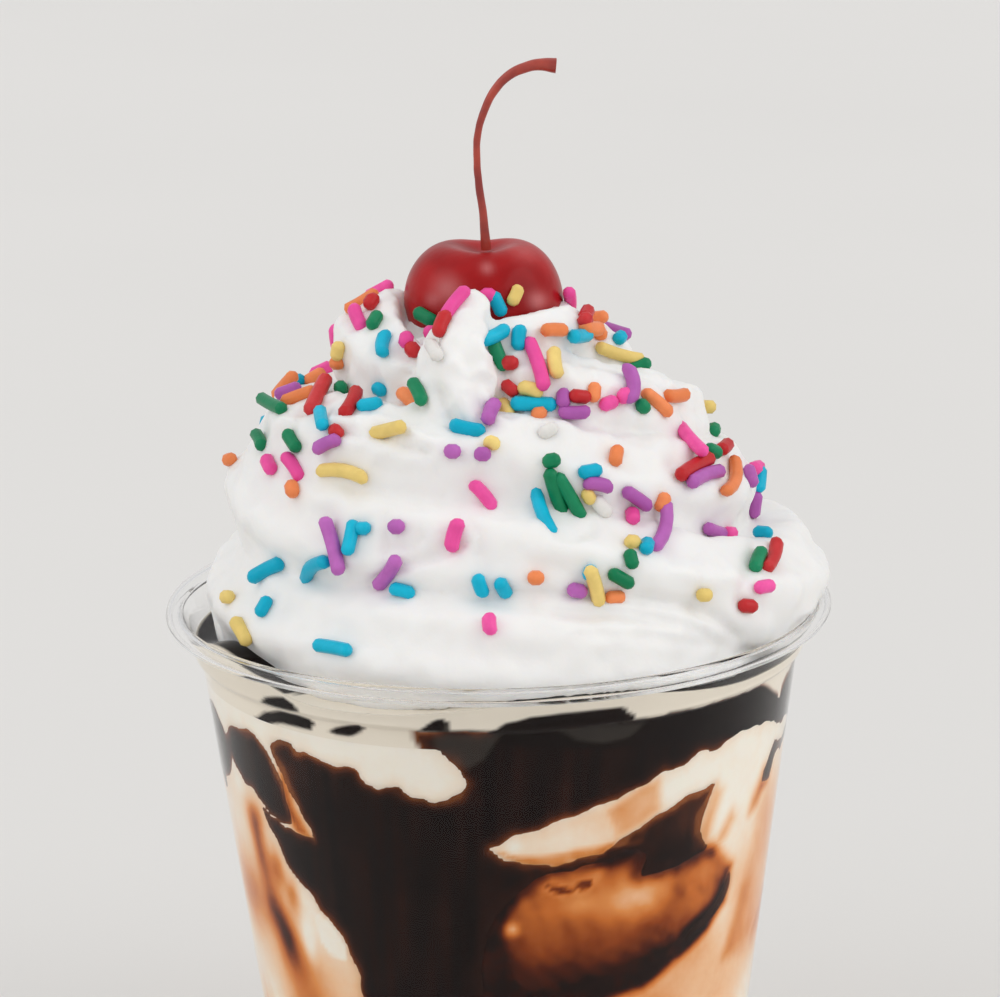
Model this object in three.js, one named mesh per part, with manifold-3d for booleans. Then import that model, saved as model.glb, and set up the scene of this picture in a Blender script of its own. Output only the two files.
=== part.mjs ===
// An ice cream sundae in a clear plastic cup. Vanilla ice cream fills the cup, chocolate syrup pools
// on it and runs down inside the wall, and a piped swirl of whipped cream with sugar sprinkles stands
// on top, under a cherry on its stem.
// Millimetres, +Z up, origin at the centre of the cup's foot. Angles are degrees round the cup:
// 0 faces -Y, 90 faces +X. Heights named "up" are measured from the top of the rim, so most are
// negative inside the cup.
import * as THREE from "three";
import { mergeVertices } from "three/addons/utils/BufferGeometryUtils.js";
import Module from "manifold-3d";

const wasm = await Module();
wasm.setup();

// The cup
const cupHeight = 84;
const rimRadius = 46;
const curlRadius = 1.2;
const sheet = 0.6;
const shoulderUp = -6.55;
const shoulderRadius = 41.4;
const wallSlope = 0.134;
const skirtStep = 0.8;
const puntHeight = 3;
const puntRadius = 24;
const footInner = 26.5;
const cornerSize = 1.6;
const shoulderStep = 0.5;
const skirtBend = 0.2;
const neckDrop = 1.6;
const neckInset = 0.3;
const cupSides = 40;

// The contents
const gap = 0.3;
const fillingGap = 2 * gap;
const fillingCorner = 1.2;
const lidEdge = 1.4;
const lidRings = [1, 0.9, 0.75, 0.5];
const poolUp = -5.2;
const iceUp = -9.5;
const runDepth = 1.7;
const iceSides = 40;
const iceRows = 12;

// The cherry and its stem
const cherryCentre = { offsetX: -1.2, offsetY: 1.5, up: 41.2 };
const cherryRadius = 10.9;
const cherryFlatness = 0.9;
const hollowDepth = 0.26;
const hollowWidth = 0.42;
const creaseDepth = 0.07;
const creaseWidth = 0.3;
const stemRadius = 0.55;

// The whipped cream and its sprinkles
const creamSides = 12;
const dollopSides = 8;
const dollopRings = 6;
const coreSides = 28;
const ridgeDepth = 0.05;
const sprinkleCount = 70;
const sprinkleRadius = 1.0;
const sprinkleLength = { least: 3, spread: 3.6 };
const lipBevel = 0.4;
const roomLow = -16;
const roomReach = 8;

const radians = THREE.MathUtils.degToRad;
const heightOf = (up) => cupHeight + up;
const polar = (angle, radius, z) =>
  new THREE.Vector3(radius * Math.sin(radians(angle)), -radius * Math.cos(radians(angle)), z);
const angleOf = (p) => THREE.MathUtils.radToDeg(Math.atan2(p.x, -p.y));
const wrapped = (angle) => THREE.MathUtils.euclideanModulo(angle + 180, 360) - 180;
const bump = (value, centre, halfWidth) => {
  const t = Math.min(1, Math.abs(value - centre) / halfWidth);
  return 0.5 + 0.5 * Math.cos(Math.PI * t);
};
const outerWall = (z) => shoulderRadius + wallSlope * (z - heightOf(shoulderUp));
const innerWall = (z) => outerWall(z) - sheet;

// A repeatable draw of numbers from 0 to 1
function seededDraw(seed) {
  let state = seed;
  return () => {
    state = (Math.imul(state, 1664525) + 1013904223) >>> 0;
    return state / 4294967296;
  };
}

// Solids from geometry, and meshes from solids
function solidOf(geometry) {
  const bare = geometry.clone();
  for (const name of Object.keys(bare.attributes)) {
    if (name !== "position") bare.deleteAttribute(name);
  }
  const merged = mergeVertices(bare, 1e-4);
  const vertProperties = merged.attributes.position.array;
  const triVerts = new Uint32Array(merged.index.array);
  return new wasm.Manifold(new wasm.Mesh({ numProp: 3, vertProperties, triVerts }));
}

// The largest body alone: sealed hollows are filled and loose scraps dropped
function oneBody(solid) {
  return solid.decompose().reduce((best, body) => (body.volume() > best.volume() ? body : best));
}

function geometryOf(solid) {
  const { numProp, numVert, vertProperties, triVerts } = solid.getMesh();
  const position = new Float32Array(numVert * 3);
  for (let i = 0; i < numVert; i++) {
    position.set(vertProperties.subarray(i * numProp, i * numProp + 3), i * 3);
  }
  const geometry = new THREE.BufferGeometry();
  geometry.setAttribute("position", new THREE.BufferAttribute(position, 3));
  geometry.setIndex(new THREE.BufferAttribute(new Uint32Array(triVerts), 1));
  geometry.computeVertexNormals();
  return geometry;
}

function named(name, geometry, color, roughness, extra = {}) {
  const material = new THREE.MeshStandardMaterial({ color, roughness, metalness: 0, ...extra });
  const mesh = new THREE.Mesh(geometry, material);
  mesh.name = name;
  return mesh;
}

// A profile of [radius, height] points, going up the outside, turned round the Z axis
function turned(profile, sides) {
  const points = profile.map(([r, z]) => new THREE.Vector2(r, z));
  return new THREE.LatheGeometry(points, sides).rotateX(Math.PI / 2);
}

function arc(radius, z, size, from, to, steps) {
  return Array.from({ length: steps + 1 }, (_, i) => {
    const a = radians(from + ((to - from) * i) / steps);
    return [radius + size * Math.cos(a), z + size * Math.sin(a)];
  });
}

// Moves every vertex of a geometry by a rule
function reshaped(geometry, rule) {
  const position = geometry.attributes.position;
  const p = new THREE.Vector3();
  for (let i = 0; i < position.count; i++) {
    rule(p.fromBufferAttribute(position, i));
    position.setXYZ(i, p.x, p.y, p.z);
  }
  return geometry;
}

// The cup: one thin sheet from the raised floor, over the foot and up the wall to the curled lip
function cupProfile() {
  const curlR = rimRadius - curlRadius;
  const curlZ = heightOf(-curlRadius);
  const shoulderZ = heightOf(shoulderUp);
  const skirtRadius = shoulderRadius + skirtStep;
  const cornerR = outerWall(cornerSize) - cornerSize;
  return [
    [0, puntHeight],
    [puntRadius, puntHeight],
    [footInner, 0],
    ...arc(cornerR, cornerSize, cornerSize, -90, 0, 3),
    [outerWall(shoulderZ - shoulderStep), shoulderZ - shoulderStep],
    [skirtRadius, shoulderZ],
    [skirtRadius + skirtBend, shoulderZ + shoulderStep],
    [curlR - curlRadius - neckInset, curlZ - neckDrop],
    [curlR - curlRadius + sheet, curlZ],
    ...arc(curlR, curlZ, curlRadius - sheet, 180, -70, 3),
    ...arc(curlR, curlZ, curlRadius, -70, 180, 7),
    [curlR - curlRadius - sheet - neckInset, curlZ - neckDrop],
    [skirtRadius - sheet + skirtBend / 2, shoulderZ + shoulderStep],
    [innerWall(shoulderZ), shoulderZ - shoulderStep],
    ...arc(cornerR, cornerSize, cornerSize - sheet, 0, -90, 2),
    [footInner + skirtBend, sheet],
    [puntRadius + skirtBend, puntHeight + sheet],
    [0, puntHeight + sheet],
  ];
}

// Syrup on the wall, as strokes of [angle, up, half width], from the band under the whipped cream
// down to the runs and leaves below it
const syrupStrokes = {
  band: [[74, -11.8, 3.6], [50, -10.4, 2.8], [33, -11, 4], [19, -12.6, 5.6], [5, -14.6, 7.2], [-6, -20, 8]],
  mainRun: [[-37, -16.6, 3.6], [-22, -24, 8.6], [-20, -34, 10], [-19, -46, 8], [-21, -58, 4.5]],
  leaf: [[-59, -12.2, 1.6], [-53.5, -18, 4.2], [-48.5, -23.2, 1.4]],
  leftRun: [[-47, -26, 2.2], [-40, -32, 5], [-33, -40, 4]],
  shelf: [[0, -27.6, 1.8], [14, -27.6, 1.7], [30, -26, 3.8], [38, -23, 3.6], [42.5, -20, 1.4]],
  sideBand: [[74, -11.8, 3.6], [96, -10.6, 3.4], [118, -12, 4.4], [140, -10.8, 3.4]],
  sideRun: [[118, -12, 5], [112, -24, 5.6], [106, -38, 4.4], [108, -50, 2.6]],
  backRun: [[160, -9, 3.6], [168, -22, 6.4], [176, -36, 7], [172, -52, 4.4]],
  backBand: [[140, -10.8, 3.4], [160, -9, 3], [186, -10.6, 4], [212, -10, 3.4]],
  farRun: [[212, -10, 4.2], [218, -22, 5.4], [228, -34, 5], [226, -46, 2.4]],
  leftStreak: [[262, -9, 2.4], [270, -15, 3.2], [282, -22, 1.8]],
  lowRun: [[52, -38, 1.4], [42, -41, 2.4], [20, -45, 3.4], [0, -50, 4.4], [-19, -52, 5]],
};

// Distance in millimetres from a stroke's edge, negative inside it, on the unrolled wall
function strokeDistance(stroke, angle, up) {
  const scale = radians(1) * innerWall(heightOf(up));
  let nearest = Infinity;
  for (let i = 0; i + 1 < stroke.length; i++) {
    const [a0, u0, w0] = stroke[i];
    const [a1, u1, w1] = stroke[i + 1];
    const x = wrapped(angle - a0) * scale;
    const y = up - u0;
    const dx = wrapped(a1 - a0) * scale;
    const dy = u1 - u0;
    const t = THREE.MathUtils.clamp((x * dx + y * dy) / (dx * dx + dy * dy), 0, 1);
    const distance = Math.hypot(x - t * dx, y - t * dy) - (w0 + t * (w1 - w0));
    nearest = Math.min(nearest, distance);
  }
  return nearest;
}

function syrupDepth(angle, up) {
  const distances = Object.values(syrupStrokes).map((stroke) => strokeDistance(stroke, angle, up));
  return runDepth * THREE.MathUtils.smoothstep(-Math.min(...distances), -0.4, 1.2);
}

// The ice cream stands higher against the wall behind the pale tongue at the front left, and the
// syrup pool swells up beside the whipped cream on the far left and at the front
const tongue = { angle: -32, halfAngle: 34, rise: 2.6 };
const swells = [
  { angle: -60, halfAngle: 26, rise: 4.2 },
  { angle: 13, halfAngle: 40, rise: 2.7 },
];
const swellFrom = 32;
const swellTo = 39;

function iceTop(angle, radius) {
  const outward = THREE.MathUtils.smoothstep(radius, 22, 36);
  const waves = 0.5 * Math.sin(radians(3 * angle)) + 0.4 * Math.sin(radians(5 * angle + 40));
  return iceUp + outward * (waves + tongue.rise * bump(wrapped(angle - tongue.angle), 0, tongue.halfAngle));
}

function poolTop(angle, radius) {
  const outward = THREE.MathUtils.smoothstep(radius, swellFrom, swellTo);
  const rises = swells.map((swell) => swell.rise * bump(wrapped(angle - swell.angle), 0, swell.halfAngle));
  return poolUp + outward * (rises[0] + rises[1]);
}

// A filling of the cup: floor, wall and a top set by a rule, drawn in from the wall by another rule,
// then grown all over
function filling(topRule, depthRule, grow) {
  const low = sheet + fillingGap;
  const bottom = puntHeight + low;
  const topOfWall = heightOf(iceUp - lidEdge);
  const wallBottom = low + fillingCorner;
  const wallStep = (topOfWall - wallBottom) / iceRows;
  const wallAt = (z) => innerWall(z) - fillingGap;
  const lid = topOfWall + 1;
  const profile = [
    [0, bottom],
    [puntRadius + sheet, bottom],
    [footInner + sheet, low],
    [wallAt(wallBottom) - fillingCorner, low],
    ...Array.from({ length: iceRows + 1 }, (_, i) => {
      const z = wallBottom + wallStep * i;
      return [wallAt(z), z];
    }),
    ...lidRings.map((share) => [share * wallAt(topOfWall), lid]),
    [0, lid],
  ];
  return reshaped(turned(profile, iceSides), (p) => {
    const radius = Math.hypot(p.x, p.y);
    const angle = angleOf(p);
    const isLid = p.z > lid - 0.01;
    const isFloor = p.z < wallBottom - 0.01;
    const isWall = !isFloor && (!isLid || radius > lidRings[1] * wallAt(topOfWall) + 0.01);
    if (isLid) p.z = heightOf(topRule(angle, radius)) + grow;
    if (isFloor) p.z -= grow;
    if (radius < 1) return;
    const depth = isWall ? depthRule(angle, isLid ? topOfWall - cupHeight : p.z - cupHeight) : 0;
    const kept = (radius - depth + (isWall || isFloor ? grow : 0)) / radius;
    p.x *= kept;
    p.y *= kept;
  });
}

// Piped rope: a ball drawn out along a curve through stations of [angle, radius, up, thickness],
// thinner at the rope's two ends
const ropeEnd = { size: 0.4, length: 0.04 };

function pipedRope(stations, from, to, rings, sides) {
  const path = new THREE.CatmullRomCurve3(
    stations.map(([angle, radius, up]) => polar(angle, radius, heightOf(up))),
    false,
    "centripetal",
  );
  const last = stations.length - 1;
  const thicknessAt = (t) => {
    const i = Math.min(last - 1, Math.floor(t * last));
    return THREE.MathUtils.lerp(stations[i][3], stations[i + 1][3], t * last - i);
  };
  const rope = new THREE.SphereGeometry(1, sides, rings + 2);
  const rows = rings + 2;
  const position = rope.attributes.position;
  const across = new THREE.Vector3();
  const lift = new THREE.Vector3();
  for (let row = 0; row <= rows; row++) {
    const share = THREE.MathUtils.clamp((row - 1) / rings, 0, 1);
    const t = THREE.MathUtils.lerp(from, to, share);
    const centre = path.getPoint(t);
    const along = path.getTangent(t);
    across.crossVectors(along, new THREE.Vector3(0, 0, 1)).normalize();
    lift.crossVectors(across, along).normalize();
    const isPole = row === 0 || row === rows;
    const tapered = Math.min(1, ropeEnd.size + t / ropeEnd.length, ropeEnd.size + (1 - t) / ropeEnd.length);
    const size = isPole ? 0 : thicknessAt(t) * tapered;
    for (let side = 0; side <= sides; side++) {
      const turn = (2 * Math.PI * (side % sides)) / sides;
      const ridge = side % 2 ? 1 - ridgeDepth : 1 + ridgeDepth;
      const p = centre
        .clone()
        .addScaledVector(across, size * ridge * Math.cos(turn))
        .addScaledVector(lift, size * ridge * Math.sin(turn));
      const i = row * (sides + 1) + side;
      position.setXYZ(i, p.x, p.y, p.z);
    }
  }
  const solid = solidOf(rope);
  return solid.volume() < 0 ? solidOf(flipped(rope)) : solid;
}

function flipped(geometry) {
  const index = geometry.index;
  for (let i = 0; i < index.count; i += 3) {
    const b = index.getX(i + 1);
    index.setX(i + 1, index.getX(i + 2));
    index.setX(i + 2, b);
  }
  return geometry;
}

// The swirl goes round clockwise from above, starting low at the front right
const swirl = [
  [72, 33, -2.5, 6],
  [38, 33.6, -0.5, 8.2],
  [0, 34, 0.8, 9.2],
  [-45, 31.4, 1, 8.8],
  [-90, 31, 0.6, 8.8],
  [-135, 32, 1, 8.8],
  [-180, 33.2, 1.2, 9],
  [-225, 34.8, 0.8, 8.6],
  [-268, 37.4, 1.5, 8.3],
  [-300, 35, 3.6, 8.4],
  [-330, 30.6, 9, 8.4],
  [-360, 27.8, 12.4, 8.6],
  [-405, 27.8, 14, 8.6],
  [-450, 28.2, 15.2, 8.6],
  [-495, 26.4, 13.6, 8.2],
  [-540, 25.4, 12.6, 8],
  [-585, 25.4, 12.8, 8],
  [-630, 27.7, 14, 7.9],
  [-675, 24.6, 18.4, 7.9],
  [-720, 21.6, 23, 8],
  [-765, 23.6, 23.6, 7.8],
  [-810, 25, 22.6, 7.4],
  [-855, 21.6, 21.6, 7.2],
  [-900, 19.4, 20.8, 7],
  [-945, 19.8, 21, 6.8],
  [-990, 23, 23.8, 6.2],
  [-1035, 18, 28.6, 6.5],
  [-1080, 13, 32.4, 6.8],
  [-1125, 13.8, 33, 6.6],
  [-1170, 14.8, 35.2, 7.2],
  [-1215, 12.2, 34.2, 6.2],
  [-1260, 10.8, 33.2, 6],
  [-1305, 11, 32, 6.2],
  [-1350, 12.8, 30.6, 7],
];

// Loose dollops round the cherry: the tail that folds down in front, and the peaks beside it
const dollops = {
  tail: [
    [-13, 13.6, 42.6, 2.8],
    [-14, 16, 39.4, 4.4],
    [-15, 18.6, 35.6, 5.2],
    [-14, 20.6, 31.6, 4.6],
    [-11, 22, 28, 3.4],
  ],
  leftPeak: [[-104, 14, 34, 5], [-100, 16, 37, 4], [-98, 16.8, 38.8, 2.6]],
  frontLip: [[-8, 13.2, 37.6, 3.4], [16, 12.8, 38.2, 3.4], [40, 12, 38.4, 3.4], [62, 11, 37.6, 3.6]],
  rightPeak: [[70, 10, 33.6, 5], [78, 10.2, 36.6, 3.8], [84, 9.4, 39, 2.4]],
  backPeak: [[176, 12, 32, 5.6], [186, 11, 35, 4.4], [196, 10, 38, 2.4]],
};

const heart = [
  [0, -12], [36, -12], [36, -1], [31, 6], [27, 13], [23, 19], [18.5, 25], [14, 30], [10, 34], [0, 35],
];

function whippedCream() {
  const core = heart.map(([radius, up]) => [radius, heightOf(up)]);
  let cream = solidOf(turned(core, coreSides));
  const halfTurns = 9;
  for (let i = 0; i < halfTurns; i++) {
    const rings = i < 3 ? 12 : 10 - Math.floor(i / 2);
    cream = cream.add(pipedRope(swirl, i / halfTurns, (i + 1) / halfTurns, rings, creamSides));
  }
  for (const stations of Object.values(dollops)) {
    cream = cream.add(pipedRope(stations, 0, 1, dollopRings, dollopSides));
  }
  return cream;
}

// The cherry: flattened, with a hollow round the stem that opens into a shallow crease
function cherryShape(grow) {
  const ball = new THREE.SphereGeometry(1, 24, 14).rotateX(Math.PI / 2);
  return reshaped(ball, (p) => {
    const slope = Math.acos(THREE.MathUtils.clamp(p.z, -1, 1));
    const hollow = hollowDepth * Math.exp(-((slope / hollowWidth) ** 2));
    const near = Math.exp(-((p.x / creaseWidth) ** 2)) * THREE.MathUtils.smoothstep(p.z, 0.2, 0.9);
    const crease = creaseDepth * near;
    const size = (cherryRadius + grow) * (1 - crease);
    p.z = size * (cherryFlatness * p.z - hollow);
    p.x *= size;
    p.y *= size;
    p.add(new THREE.Vector3(cherryCentre.offsetX, cherryCentre.offsetY, heightOf(cherryCentre.up)));
  });
}

// The stem, through points of [x, up, thickness over the stem radius]
const stemLine = [
  [-0.7, 48.6, 1.3],
  [-1.0, 53, 1.0],
  [-1.5, 57.2, 0.95],
  [-1.7, 60.6, 0.9],
  [-1.5, 64, 0.9],
  [-0.6, 67.1, 0.95],
  [0.8, 69.8, 1.05],
  [2.7, 71.8, 1.15],
  [5, 72.9, 1.3],
  [7.2, 73.3, 1.5],
  [9.2, 73.1, 1.9],
];

function stemSolid() {
  const path = new THREE.CatmullRomCurve3(
    stemLine.map(([x, up]) => new THREE.Vector3(x, cherryCentre.offsetY, heightOf(up))),
  );
  const rings = 20;
  const sides = 7;
  const stem = new THREE.SphereGeometry(1, sides, rings + 2);
  const position = stem.attributes.position;
  const last = stemLine.length - 1;
  for (let row = 0; row <= rings + 2; row++) {
    const t = THREE.MathUtils.clamp((row - 1) / rings, 0, 1);
    const centre = path.getPoint(t);
    const along = path.getTangent(t);
    const across = new THREE.Vector3(0, 1, 0);
    const lift = new THREE.Vector3().crossVectors(across, along).normalize();
    const i = Math.min(last - 1, Math.floor(t * last));
    const factor = THREE.MathUtils.lerp(stemLine[i][2], stemLine[i + 1][2], t * last - i);
    const size = row === 0 || row === rings + 2 ? 0 : stemRadius * factor;
    for (let side = 0; side <= sides; side++) {
      const turn = (2 * Math.PI * (side % sides)) / sides;
      const p = centre
        .clone()
        .addScaledVector(across, size * Math.cos(turn))
        .addScaledVector(lift, size * Math.sin(turn));
      position.setXYZ(row * (sides + 1) + side, p.x, p.y, p.z);
    }
  }
  const solid = solidOf(stem);
  return solid.volume() < 0 ? solidOf(flipped(stem)) : solid;
}

// Sprinkles lie where seeded rays from all round the swirl meet the cream, each half sunk in it
function withSprinkles(cream) {
  const draw = seededDraw(41);
  const target = new THREE.Mesh(geometryOf(cream));
  const ray = new THREE.Raycaster();
  const aim = new THREE.Vector3(0, 0, heightOf(8));
  const cherry = new THREE.Vector3(cherryCentre.offsetX, cherryCentre.offsetY, heightOf(cherryCentre.up));
  const goldenAngle = 137.508;
  let fused = cream;
  let laid = 0;
  for (let i = 0; laid < sprinkleCount && i < 6 * sprinkleCount; i++) {
    const angle = i * goldenAngle;
    const rise = 2 + 72 * Math.pow(draw(), 0.8);
    const inward = polar(angle, -Math.cos(radians(rise)), -Math.sin(radians(rise)));
    ray.set(aim.clone().addScaledVector(inward, -90), inward);
    const [hit] = ray.intersectObject(target);
    if (!hit) continue;
    const nearCherry = hit.point.distanceTo(cherry) < cherryRadius + sprinkleLength.least;
    const nearRim = hit.point.z < heightOf(4) && Math.hypot(hit.point.x, hit.point.y) > 36;
    if (nearCherry || nearRim) continue;
    const length = sprinkleLength.least + sprinkleLength.spread * draw();
    const lying = new THREE.Vector3(draw() - 0.5, draw() - 0.5, draw() - 0.5).cross(hit.face.normal);
    const capsule = new THREE.CapsuleGeometry(sprinkleRadius, length, 1, 5);
    const turn = new THREE.Quaternion().setFromUnitVectors(new THREE.Vector3(0, 1, 0), lying.normalize());
    const place = hit.point.clone().addScaledVector(hit.face.normal, 0.25 * sprinkleRadius);
    capsule.applyMatrix4(new THREE.Matrix4().compose(place, turn, new THREE.Vector3(1, 1, 1)));
    fused = fused.add(solidOf(capsule));
    laid++;
  }
  return fused;
}

// Cutting shapes, each a little larger than what it makes room for
const cupSolid = solidOf(turned(cupProfile(), cupSides));
const curlInner = rimRadius - 2 * curlRadius - gap;
const wallLimit = innerWall(heightOf(roomLow)) - gap;
const rimRoom = turned(
  [
    [wallLimit, heightOf(roomLow)],
    [rimRadius + roomReach, heightOf(roomLow)],
    [rimRadius + roomReach, heightOf(-2 * curlRadius)],
    [rimRadius + gap, heightOf(-curlRadius)],
    [rimRadius + gap - lipBevel, heightOf(-gap)],
    [rimRadius - curlRadius, heightOf(gap)],
    [curlInner + lipBevel, heightOf(-gap)],
    [curlInner, heightOf(-curlRadius)],
    [curlInner - 1, heightOf(-curlRadius - neckDrop)],
    [shoulderRadius + skirtStep - sheet - gap, heightOf(shoulderUp + shoulderStep)],
    [innerWall(heightOf(shoulderUp)) - gap, heightOf(shoulderUp - shoulderStep)],
    [wallLimit, heightOf(roomLow)],
  ],
  cupSides,
);

const noDepth = () => 0;
const ice = solidOf(filling(iceTop, syrupDepth, 0));
const iceRoom = solidOf(filling(iceTop, syrupDepth, 1.5 * gap));
const contents = solidOf(filling(poolTop, noDepth, gap));
const contentsRoom = solidOf(filling(poolTop, noDepth, 2 * gap));
const syrup = oneBody(contents.subtract(iceRoom));
const cherryRoom = solidOf(cherryShape(gap));
const bareCream = whippedCream().subtract(solidOf(rimRoom)).subtract(contentsRoom).subtract(cherryRoom);
const cream = oneBody(withSprinkles(oneBody(bareCream)));
const cherry = solidOf(cherryShape(0));

const sundae = new THREE.Group();
sundae.add(
  named("cup", geometryOf(cupSolid), 0xf4f6f7, 0.05, { transparent: true, opacity: 0.3 }),
  named("ice_cream", geometryOf(ice), 0xe9dcc6, 0.5),
  named("chocolate_syrup", geometryOf(syrup), 0x2a1712, 0.2),
  named("whipped_cream", geometryOf(cream), 0xf5f3f0, 0.55),
  named("cherry", geometryOf(cherry), 0xa01c20, 0.2),
  named("cherry_stem", geometryOf(stemSolid()), 0xa8483a, 0.45),
);

export default sundae;
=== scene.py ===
import math
import random

import bpy
import numpy as np
from mathutils import Matrix, Vector, noise
from mathutils.bvhtree import BVHTree


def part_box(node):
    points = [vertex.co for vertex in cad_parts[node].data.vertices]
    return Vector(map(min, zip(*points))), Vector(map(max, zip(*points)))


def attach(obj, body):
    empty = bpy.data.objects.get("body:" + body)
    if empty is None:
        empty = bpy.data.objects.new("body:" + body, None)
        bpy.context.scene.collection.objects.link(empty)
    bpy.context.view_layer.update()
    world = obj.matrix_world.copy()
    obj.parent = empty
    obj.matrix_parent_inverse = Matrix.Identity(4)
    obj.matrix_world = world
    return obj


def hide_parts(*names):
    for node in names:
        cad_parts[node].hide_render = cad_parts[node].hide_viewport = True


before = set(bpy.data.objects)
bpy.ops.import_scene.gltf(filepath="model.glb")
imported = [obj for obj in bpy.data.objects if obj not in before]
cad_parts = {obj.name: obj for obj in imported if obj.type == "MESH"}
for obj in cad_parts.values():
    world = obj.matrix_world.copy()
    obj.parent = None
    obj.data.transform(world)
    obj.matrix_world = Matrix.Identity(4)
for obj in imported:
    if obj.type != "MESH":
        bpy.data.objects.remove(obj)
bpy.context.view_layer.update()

# Sizes in the dictionaries are millimetres and degrees unless a note says otherwise. "up" is a
# height above the top of the cup's rim, and an angle goes round the cup from its front, which
# faces -Y, towards its right side, which faces +X.
mm = 0.001
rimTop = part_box("cup")[1].z
noise.seed_set(5)   # or vector noise would be different in each run


def colour(red, green, blue):
    # screen colour, 0 to 255, to the linear colour that a socket takes
    def linear(value):
        value /= 255
        return value / 12.92 if value <= 0.04045 else ((value + 0.055) / 1.055) ** 2.4
    return (linear(red), linear(green), linear(blue), 1.0)


def onRing(angle, radius, up):
    turn = math.radians(angle)
    return Vector((radius * math.sin(turn) * mm, -radius * math.cos(turn) * mm, rimTop + up * mm))


def clearSelection():
    if bpy.context.mode != "OBJECT":
        bpy.ops.object.mode_set(mode="OBJECT")
    bpy.ops.object.select_all(action="DESELECT")


def makeActive(piece):
    clearSelection()
    piece.select_set(True)
    bpy.context.view_layer.objects.active = piece


def settle(piece):
    # the object's own place and turn go into its mesh
    makeActive(piece)
    bpy.ops.object.transform_apply(location=True, rotation=True, scale=True)


def joined(pieces, name):
    clearSelection()
    for piece in pieces:
        piece.select_set(True)
    bpy.context.view_layer.objects.active = pieces[0]
    bpy.ops.object.join()
    whole = bpy.context.object
    whole.name = name
    whole.data.name = name
    return whole


def applyModifiers(piece):
    makeActive(piece)
    for modifier in list(piece.modifiers):
        bpy.ops.object.modifier_apply(modifier=modifier.name)


def smoothed(piece, limit):
    makeActive(piece)
    bpy.ops.object.shade_smooth_by_angle(angle=math.radians(limit))
    return piece


def pointsOf(piece):
    points = np.zeros(len(piece.data.vertices) * 3, np.float64)
    piece.data.vertices.foreach_get("co", points)
    return points.reshape(-1, 3)


def setPoints(piece, points):
    piece.data.vertices.foreach_set("co", points.reshape(-1))
    piece.data.update()


def drawIn(points, rows, share):
    # the chosen points move to a share of their distance from the cup's axis
    points[rows, 0] *= share
    points[rows, 1] *= share


def paintPoints(piece, name, values):
    layer = piece.data.attributes.new(name, "FLOAT", "POINT")
    layer.data.foreach_set("value", np.asarray(values, np.float32))


def turnedShell(name, stations, sides):
    # a disc drawn up through rings of (radius, height in metres), closed at both ends
    clearSelection()
    radius, height = stations[0]
    bpy.ops.mesh.primitive_circle_add(vertices=sides, radius=radius, fill_type="NGON", location=(0, 0, height))
    piece = bpy.context.object
    piece.name = name
    settle(piece)
    bpy.ops.object.mode_set(mode="EDIT")
    bpy.ops.mesh.select_all(action="SELECT")
    for nextRadius, nextHeight in stations[1:]:
        bpy.ops.mesh.extrude_region_move(TRANSFORM_OT_translate={"value": (0, 0, nextHeight - height)})
        share = nextRadius / radius
        bpy.ops.transform.resize(value=(share, share, 1), center_override=(0, 0, nextHeight))
        radius, height = nextRadius, nextHeight
    bpy.ops.mesh.select_all(action="SELECT")
    bpy.ops.mesh.normals_make_consistent(inside=False)
    bpy.ops.object.mode_set(mode="OBJECT")
    return piece


def sweptCurve(stations, steps, **settings):
    # a mesh swept along a curve through stations of (place, radius, tilt)
    clearSelection()
    bpy.ops.curve.primitive_bezier_curve_add()
    piece = bpy.context.object
    curve = piece.data
    curve.splines.remove(curve.splines[0])
    curve.dimensions = "3D"
    curve.use_fill_caps = True
    curve.resolution_u = steps
    for setting, value in settings.items():
        setattr(curve, setting, value)
    spline = curve.splines.new("BEZIER")
    spline.bezier_points.add(len(stations) - 1)
    for point, (place, radius, tilt) in zip(spline.bezier_points, stations):
        point.co = place
        point.handle_left_type = point.handle_right_type = "AUTO"
        point.radius = radius
        point.tilt = tilt
    piece.location = (0, 0, 0)
    makeActive(piece)
    bpy.ops.object.convert(target="MESH")
    return bpy.context.object


def finishPiece(piece, name, material, slot, *nodes):
    piece.name = name
    piece.data.name = name
    piece.data.materials.clear()
    piece.data.materials.append(material)
    for polygon in piece.data.polygons:
        polygon.material_index = 0
    if nodes:
        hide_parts(*nodes)
    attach(piece, "root")
    return piece


# Camera, fitted to the rim's ellipse and the cup's sides
cameraSpec = {
    "distance": 0.55,           # metres, from the middle of the rim's top
    "elevation": 15.89,
    "lens": 142.8,
    "sensor": 36.0,
    "imageSize": (1000, 997),   # pixels
    "rimPixel": (498.1, 593.3),  # where the middle of the rim's top shows
    "roll": -1.15,
}


def makeCamera(spec):
    focal = spec["lens"] * spec["imageSize"][0] / spec["sensor"]
    roll = math.radians(spec["roll"])
    offRight = spec["rimPixel"][0] - spec["imageSize"][0] / 2
    offDown = spec["rimPixel"][1] - spec["imageSize"][1] / 2
    left = -(math.cos(roll) * offRight + math.sin(roll) * offDown)
    down = math.cos(roll) * offDown - math.sin(roll) * offRight
    yaw = math.atan(left / focal)
    pitch = math.atan(down / focal)
    elevation = math.radians(spec["elevation"])
    place = Vector((0, -spec["distance"] * math.cos(elevation), rimTop + spec["distance"] * math.sin(elevation)))
    turn = (
        Matrix.Rotation(-yaw, 4, "Z")
        @ Matrix.Rotation(math.pi / 2 - elevation + pitch, 4, "X")
        @ Matrix.Rotation(roll, 4, "Z")
    )
    bpy.ops.object.camera_add()
    camera = bpy.context.object
    camera.matrix_world = Matrix.Translation(place) @ turn
    camera.data.lens = spec["lens"]
    camera.data.sensor_width = spec["sensor"]
    camera.data.clip_end = 20
    bpy.context.scene.camera = camera
    bpy.context.view_layer.update()
    return camera


camera = makeCamera(cameraSpec)
print("camera done")


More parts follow.
